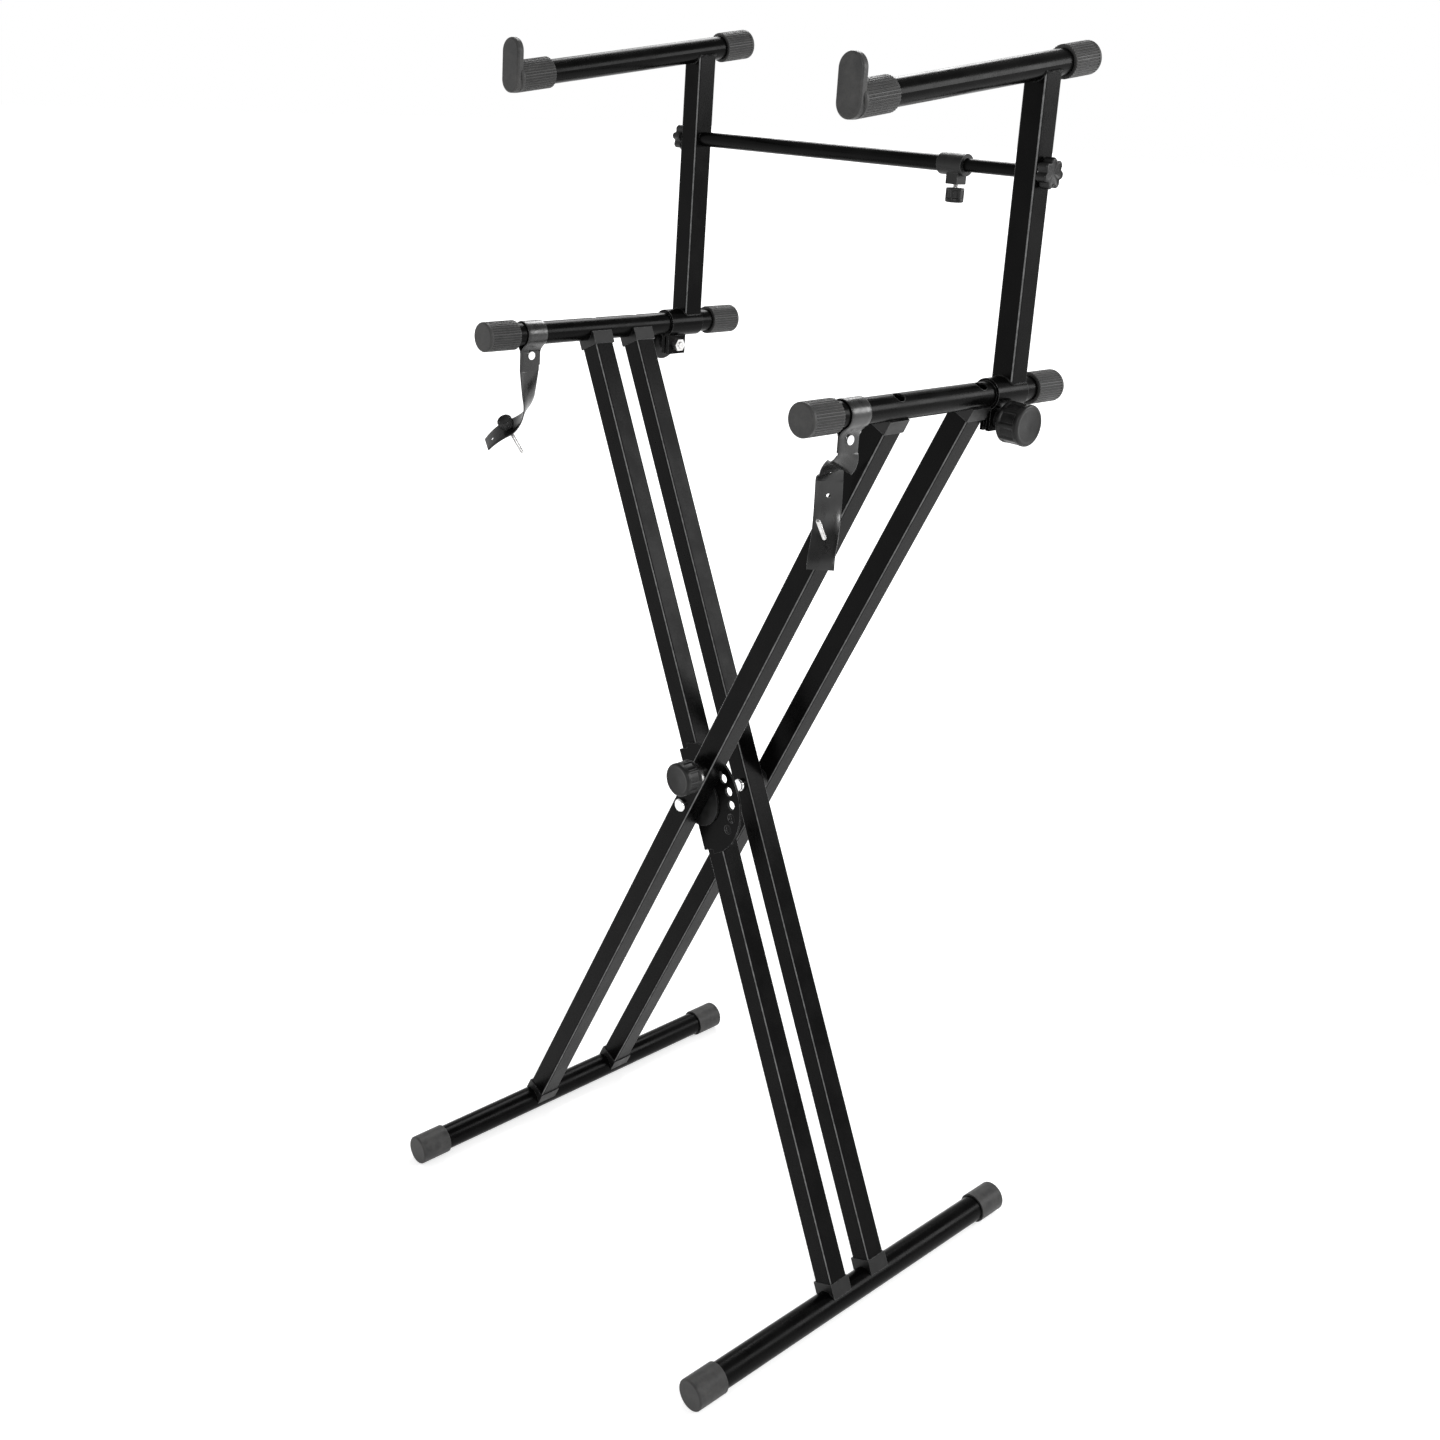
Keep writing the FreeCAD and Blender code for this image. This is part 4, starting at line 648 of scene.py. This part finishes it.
def strap_ring(middle, along, across):
    """Rounded flat section of a strap."""
    face = along.cross(across).normalized()
    half, thick = STRAP_WIDTH / 2 - STRAP_THICK / 2, STRAP_THICK / 2
    ring = [middle + across * (half * (1 - i / 3)) + face * thick for i in range(7)]
    ring += [middle - across * (half + thick * math.sin(a)) + face * (thick * math.cos(a))
             for a in (math.pi * i / 6 for i in range(1, 6))]
    ring += [middle + across * (half * (i / 3 - 1)) - face * thick for i in range(7)]
    ring += [middle + across * (half + thick * math.sin(a)) - face * (thick * math.cos(a))
             for a in (math.pi * i / 6 for i in range(1, 6))]
    return ring


def strap_rows(side, centre):
    top = centre - Z * STRAP_DROP + X * (SIDES[side] * STRAP_THICK / 2)
    stations = ribbon_stations(side, top)
    middles = [station[0] for station in stations]
    rows = [strap_ring(*station) for station in loop_stations(side, centre)]
    first = 1
    rows.append(strap_ring(*stations[first][:3]))
    for i in range(first, len(stations) - 1):
        for k in range(1, SMOOTHING + 1):
            t = k / SMOOTHING
            middle = curve_between(middles, i, t)
            along = stations[i][1].lerp(stations[i + 1][1], t).normalized()
            across = stations[i][2].lerp(stations[i + 1][2], t)
            across = (across - along * across.dot(along)).normalized()
            rows.append(strap_ring(middle, along, across))
    return rows, stations


def with_holes(mesh, holes):
    """Mesh with round holes through it; a hole is its Axis and radius."""
    body = bpy.data.objects.new("solid", mesh)
    bpy.context.scene.collection.objects.link(body)
    tools = []
    for i, (axis, radius) in enumerate(holes):
        reach = 5 * MM
        tool = turned("hole", axis, [(-reach, radius), (reach, radius)], 24)
        tools.append(bpy.data.objects.new("hole", tool))
        bpy.context.scene.collection.objects.link(tools[-1])
        cut = body.modifiers.new("hole", "BOOLEAN")
        cut.operation, cut.object, cut.solver = "DIFFERENCE", tools[-1], "EXACT"
    bpy.context.view_layer.update()
    solid = body.evaluated_get(bpy.context.evaluated_depsgraph_get())
    result = bpy.data.meshes.new_from_object(solid)
    for thing in [body] + tools:
        bpy.data.objects.remove(thing)
    return result


def strap(side):
    rows, stations = strap_rows(side, bar_middle(side, STRAP_Y))
    mesh = grid_mesh(side + "_strap_ribbon", rows)
    holes = [(knob_axis(side + "_thumb_turn"), SCREW_HOLE_RADIUS)]
    length = stations[-1][3]
    for from_end in SPARE_HOLES[side]:
        middle, along, across, _ = min(stations, key=lambda s: abs(s[3] - (length - from_end * MM)))
        holes.append((Axis(middle, along.cross(across)), SPARE_HOLE_RADIUS))
    add_piece(side + "_strap_ribbon", with_holes(mesh, holes), "strap_rubber", side + "_strap")


# ---------------------------------------------------------------- welds

def bead(name, points, radius, body):
    """Closed weld bead of overlapping ripples through these points."""
    rows = []
    count = len(points)
    middle = sum(points, Vector()) / count
    travelled = 0.0
    for i, point in enumerate(points):
        along = (points[(i + 1) % count] - points[i - 1]).normalized()
        outwards = point - middle
        outwards = (outwards - along * outwards.dot(along)).normalized()
        upwards = along.cross(outwards)
        travelled += (point - points[i - 1]).length
        ripple = radius * (0.88 + 0.12 * abs(math.sin(travelled / (2.2 * MM) * math.pi)))
        rows.append([point + (outwards * math.cos(a) + upwards * math.sin(a)) * ripple
                     for a in (2 * math.pi * k / 8 for k in range(8))])
    rows.append(rows[0])
    mesh = grid_mesh(name, rows, close_ends=False)
    shape = bmesh.new()
    shape.from_mesh(mesh)
    bmesh.ops.remove_doubles(shape, verts=shape.verts, dist=1e-7)
    shape.to_mesh(mesh)
    shape.free()
    add_piece(name, mesh, "black_powder_coat", None, body=body)


def square_outline(half, corner, step=0.7 * MM):
    """(x, y) points round a square tube with rounded corners."""
    points = []
    flat = half - corner
    for quarter in range(4):
        turn = Matrix.Rotation(math.pi / 2 * quarter, 2)
        count = int(2 * flat / step)
        points += [turn @ Vector((half, -flat + 2 * flat * i / count)) for i in range(count)]
        points += [turn @ (Vector((flat, flat)) + corner * Vector((math.cos(a), math.sin(a))))
                   for a in (math.pi / 2 * i / 5 for i in range(5))]
    return points


TUBE_HALF, TUBE_CORNER = 12.5 * MM, 2.5 * MM
BAR_RADIUS, SLEEVE_RADIUS, COPE = 12.5 * MM, 15.5 * MM, 5 * MM
ARM_TILT = math.radians(8.5)
TIER_RISE, UPRIGHT_Y = 305 * MM, 110 * MM
WELD_RADIUS, WELD_LIFT = 1.25 * MM, 0.2 * MM


def tier_welds(side):
    """Beads where an upright stands on its sleeve, and where its coped end meets the arm."""
    bar = bar_middle(side, UPRIGHT_Y)
    outline = square_outline(TUBE_HALF, TUBE_CORNER)
    foot = [bar + Vector((p.x, p.y, math.sqrt(SLEEVE_RADIUS ** 2 - p.x ** 2) + WELD_LIFT)) for p in outline]
    bead(side + "_sleeve_weld", foot, WELD_RADIUS, side + "_tier")
    head = []
    for p in outline:
        axis_height = TIER_RISE + p.y * math.tan(ARM_TILT)
        drop = math.sqrt(max(0.0, BAR_RADIUS ** 2 - p.x ** 2)) / math.cos(ARM_TILT)
        head.append(bar + Vector((p.x, p.y, axis_height - max(drop, COPE))))
    bead(side + "_arm_weld", head, WELD_RADIUS, side + "_tier")


# ---------------------------------------------------------------- stage

FLOOR_HALF = 30
NEAR_GLOW, FAR_GLOW, GLOW_START, GLOW_END = 0.5, 1.0, 0.5, 2.4
CEILING_START, CEILING_END, CEILING_DIMMING = 0.30, 0.62, 0.6
ROOM_LEVEL, SEEN_LEVEL = 0.62, 1.0
SOFTBOXES = {  # place, aim, size and watts
    "key_softbox": ((-1.3, 1.5, 2.6), (0, 0, 0.4), 1.2, 30),
    "right_softbox": ((2.1, 2.1, 1.9), (0, 0, 0.7), 1.3, 42),
    "front_softbox": ((1.7, -1.5, 2.1), (0, 0, 0.7), 0.5, 20),
}


def add_floor():
    """Pale floor that glows towards white away from the stand, and keeps the shadow near it."""
    mesh = bpy.data.meshes.new("studio_floor")
    corners = [(-FLOOR_HALF, -FLOOR_HALF, 0), (FLOOR_HALF, -FLOOR_HALF, 0),
               (FLOOR_HALF, FLOOR_HALF, 0), (-FLOOR_HALF, FLOOR_HALF, 0)]
    mesh.from_pydata(corners, [], [(0, 1, 2, 3)])
    floor = bpy.data.objects.new("studio_floor", mesh)
    bpy.context.scene.collection.objects.link(floor)
    finish = Finish("pale_floor")
    speckle = finish.noise(3, detail=4)
    colour = finish.mixed(speckle, grey(0.80), grey(0.83))
    finish.shade(Base_Color=colour, Roughness=0.9, Specular_IOR_Level=0.0)
    seen = finish.add("ShaderNodeLightPath")
    shown = finish.maths("MAXIMUM", seen.outputs["Is Camera Ray"], seen.outputs["Is Glossy Ray"])
    shown = finish.maths("MAXIMUM", shown, seen.outputs["Is Transmission Ray"])
    away = finish.tree.nodes.new("ShaderNodeVectorMath")
    away.operation = "LENGTH"
    finish.feed(away.inputs[0], finish.place)
    glow = finish.spread(away.outputs["Value"], NEAR_GLOW, FAR_GLOW, GLOW_START, GLOW_END)
    glow = finish.maths("MULTIPLY", shown, glow)
    finish.shade(Emission_Color=(1, 1, 1, 1), Emission_Strength=glow)
    mesh.materials.append(finish.material)


def add_world():
    """Even light, seen white by camera, glossy and transmission rays, and dimmer overhead in reflections."""
    world = bpy.data.worlds.new("studio_world")
    world.use_nodes = True
    tree = world.node_tree
    background = tree.nodes["Background"]

    def wire(kind, links, **values):
        node = tree.nodes.new(kind)
        for name, value in values.items():
            node.inputs[name.replace("_", " ")].default_value = value
        for source, socket in links:
            tree.links.new(source, node.inputs[socket])
        return node
    seen = wire("ShaderNodeLightPath", [])
    direction = wire("ShaderNodeTexCoord", []).outputs["Generated"]
    height = wire("ShaderNodeSeparateXYZ", [(direction, "Vector")]).outputs["Z"]
    ceiling = wire("ShaderNodeMapRange", [(height, "Value")], From_Min=CEILING_START, From_Max=CEILING_END,
                   To_Min=0.0, To_Max=CEILING_DIMMING)
    dimmed = wire("ShaderNodeMath", [(ceiling.outputs["Result"], 0), (seen.outputs["Is Glossy Ray"], 1)])
    dimmed.operation = "MULTIPLY"
    left_over = wire("ShaderNodeMath", [(dimmed.outputs["Value"], 1)])
    left_over.operation = "SUBTRACT"
    left_over.inputs[0].default_value = 1.0
    tree.links.new(left_over.outputs["Value"], background.inputs["Color"])
    shown = seen.outputs["Is Camera Ray"]
    for output in ("Is Glossy Ray", "Is Transmission Ray"):
        either = wire("ShaderNodeMath", [(shown, 0), (seen.outputs[output], 1)])
        either.operation = "MAXIMUM"
        shown = either.outputs["Value"]
    level = wire("ShaderNodeMapRange", [(shown, "Value")], To_Min=ROOM_LEVEL, To_Max=SEEN_LEVEL)
    tree.links.new(level.outputs["Result"], background.inputs["Strength"])
    bpy.context.scene.world = world


def add_softbox(name, place, aim, size, watts):
    data = bpy.data.lights.new(name, "AREA")
    data.shape = "DISK"
    data.size = size
    data.energy = watts
    lamp = bpy.data.objects.new(name, data)
    bpy.context.scene.collection.objects.link(lamp)
    lamp.location = place
    lamp.rotation_mode = "QUATERNION"
    lamp.rotation_quaternion = (Vector(aim) - Vector(place)).to_track_quat("-Z", "Y")


# ---------------------------------------------------------------- build

add_camera()
add_floor()
add_world()
for softbox, (place, aim, size, watts) in SOFTBOXES.items():
    add_softbox(softbox, place, aim, size, watts)
dress_nodes()
for side_name in SIDES:
    clamp_knob(side_name)
    star_knob(side_name)
    thumb_screw(side_name)
    strap(side_name)
    tier_welds(side_name)
collar_knob()
lock_pull()

bpy.context.scene.view_settings.view_transform = "Standard"
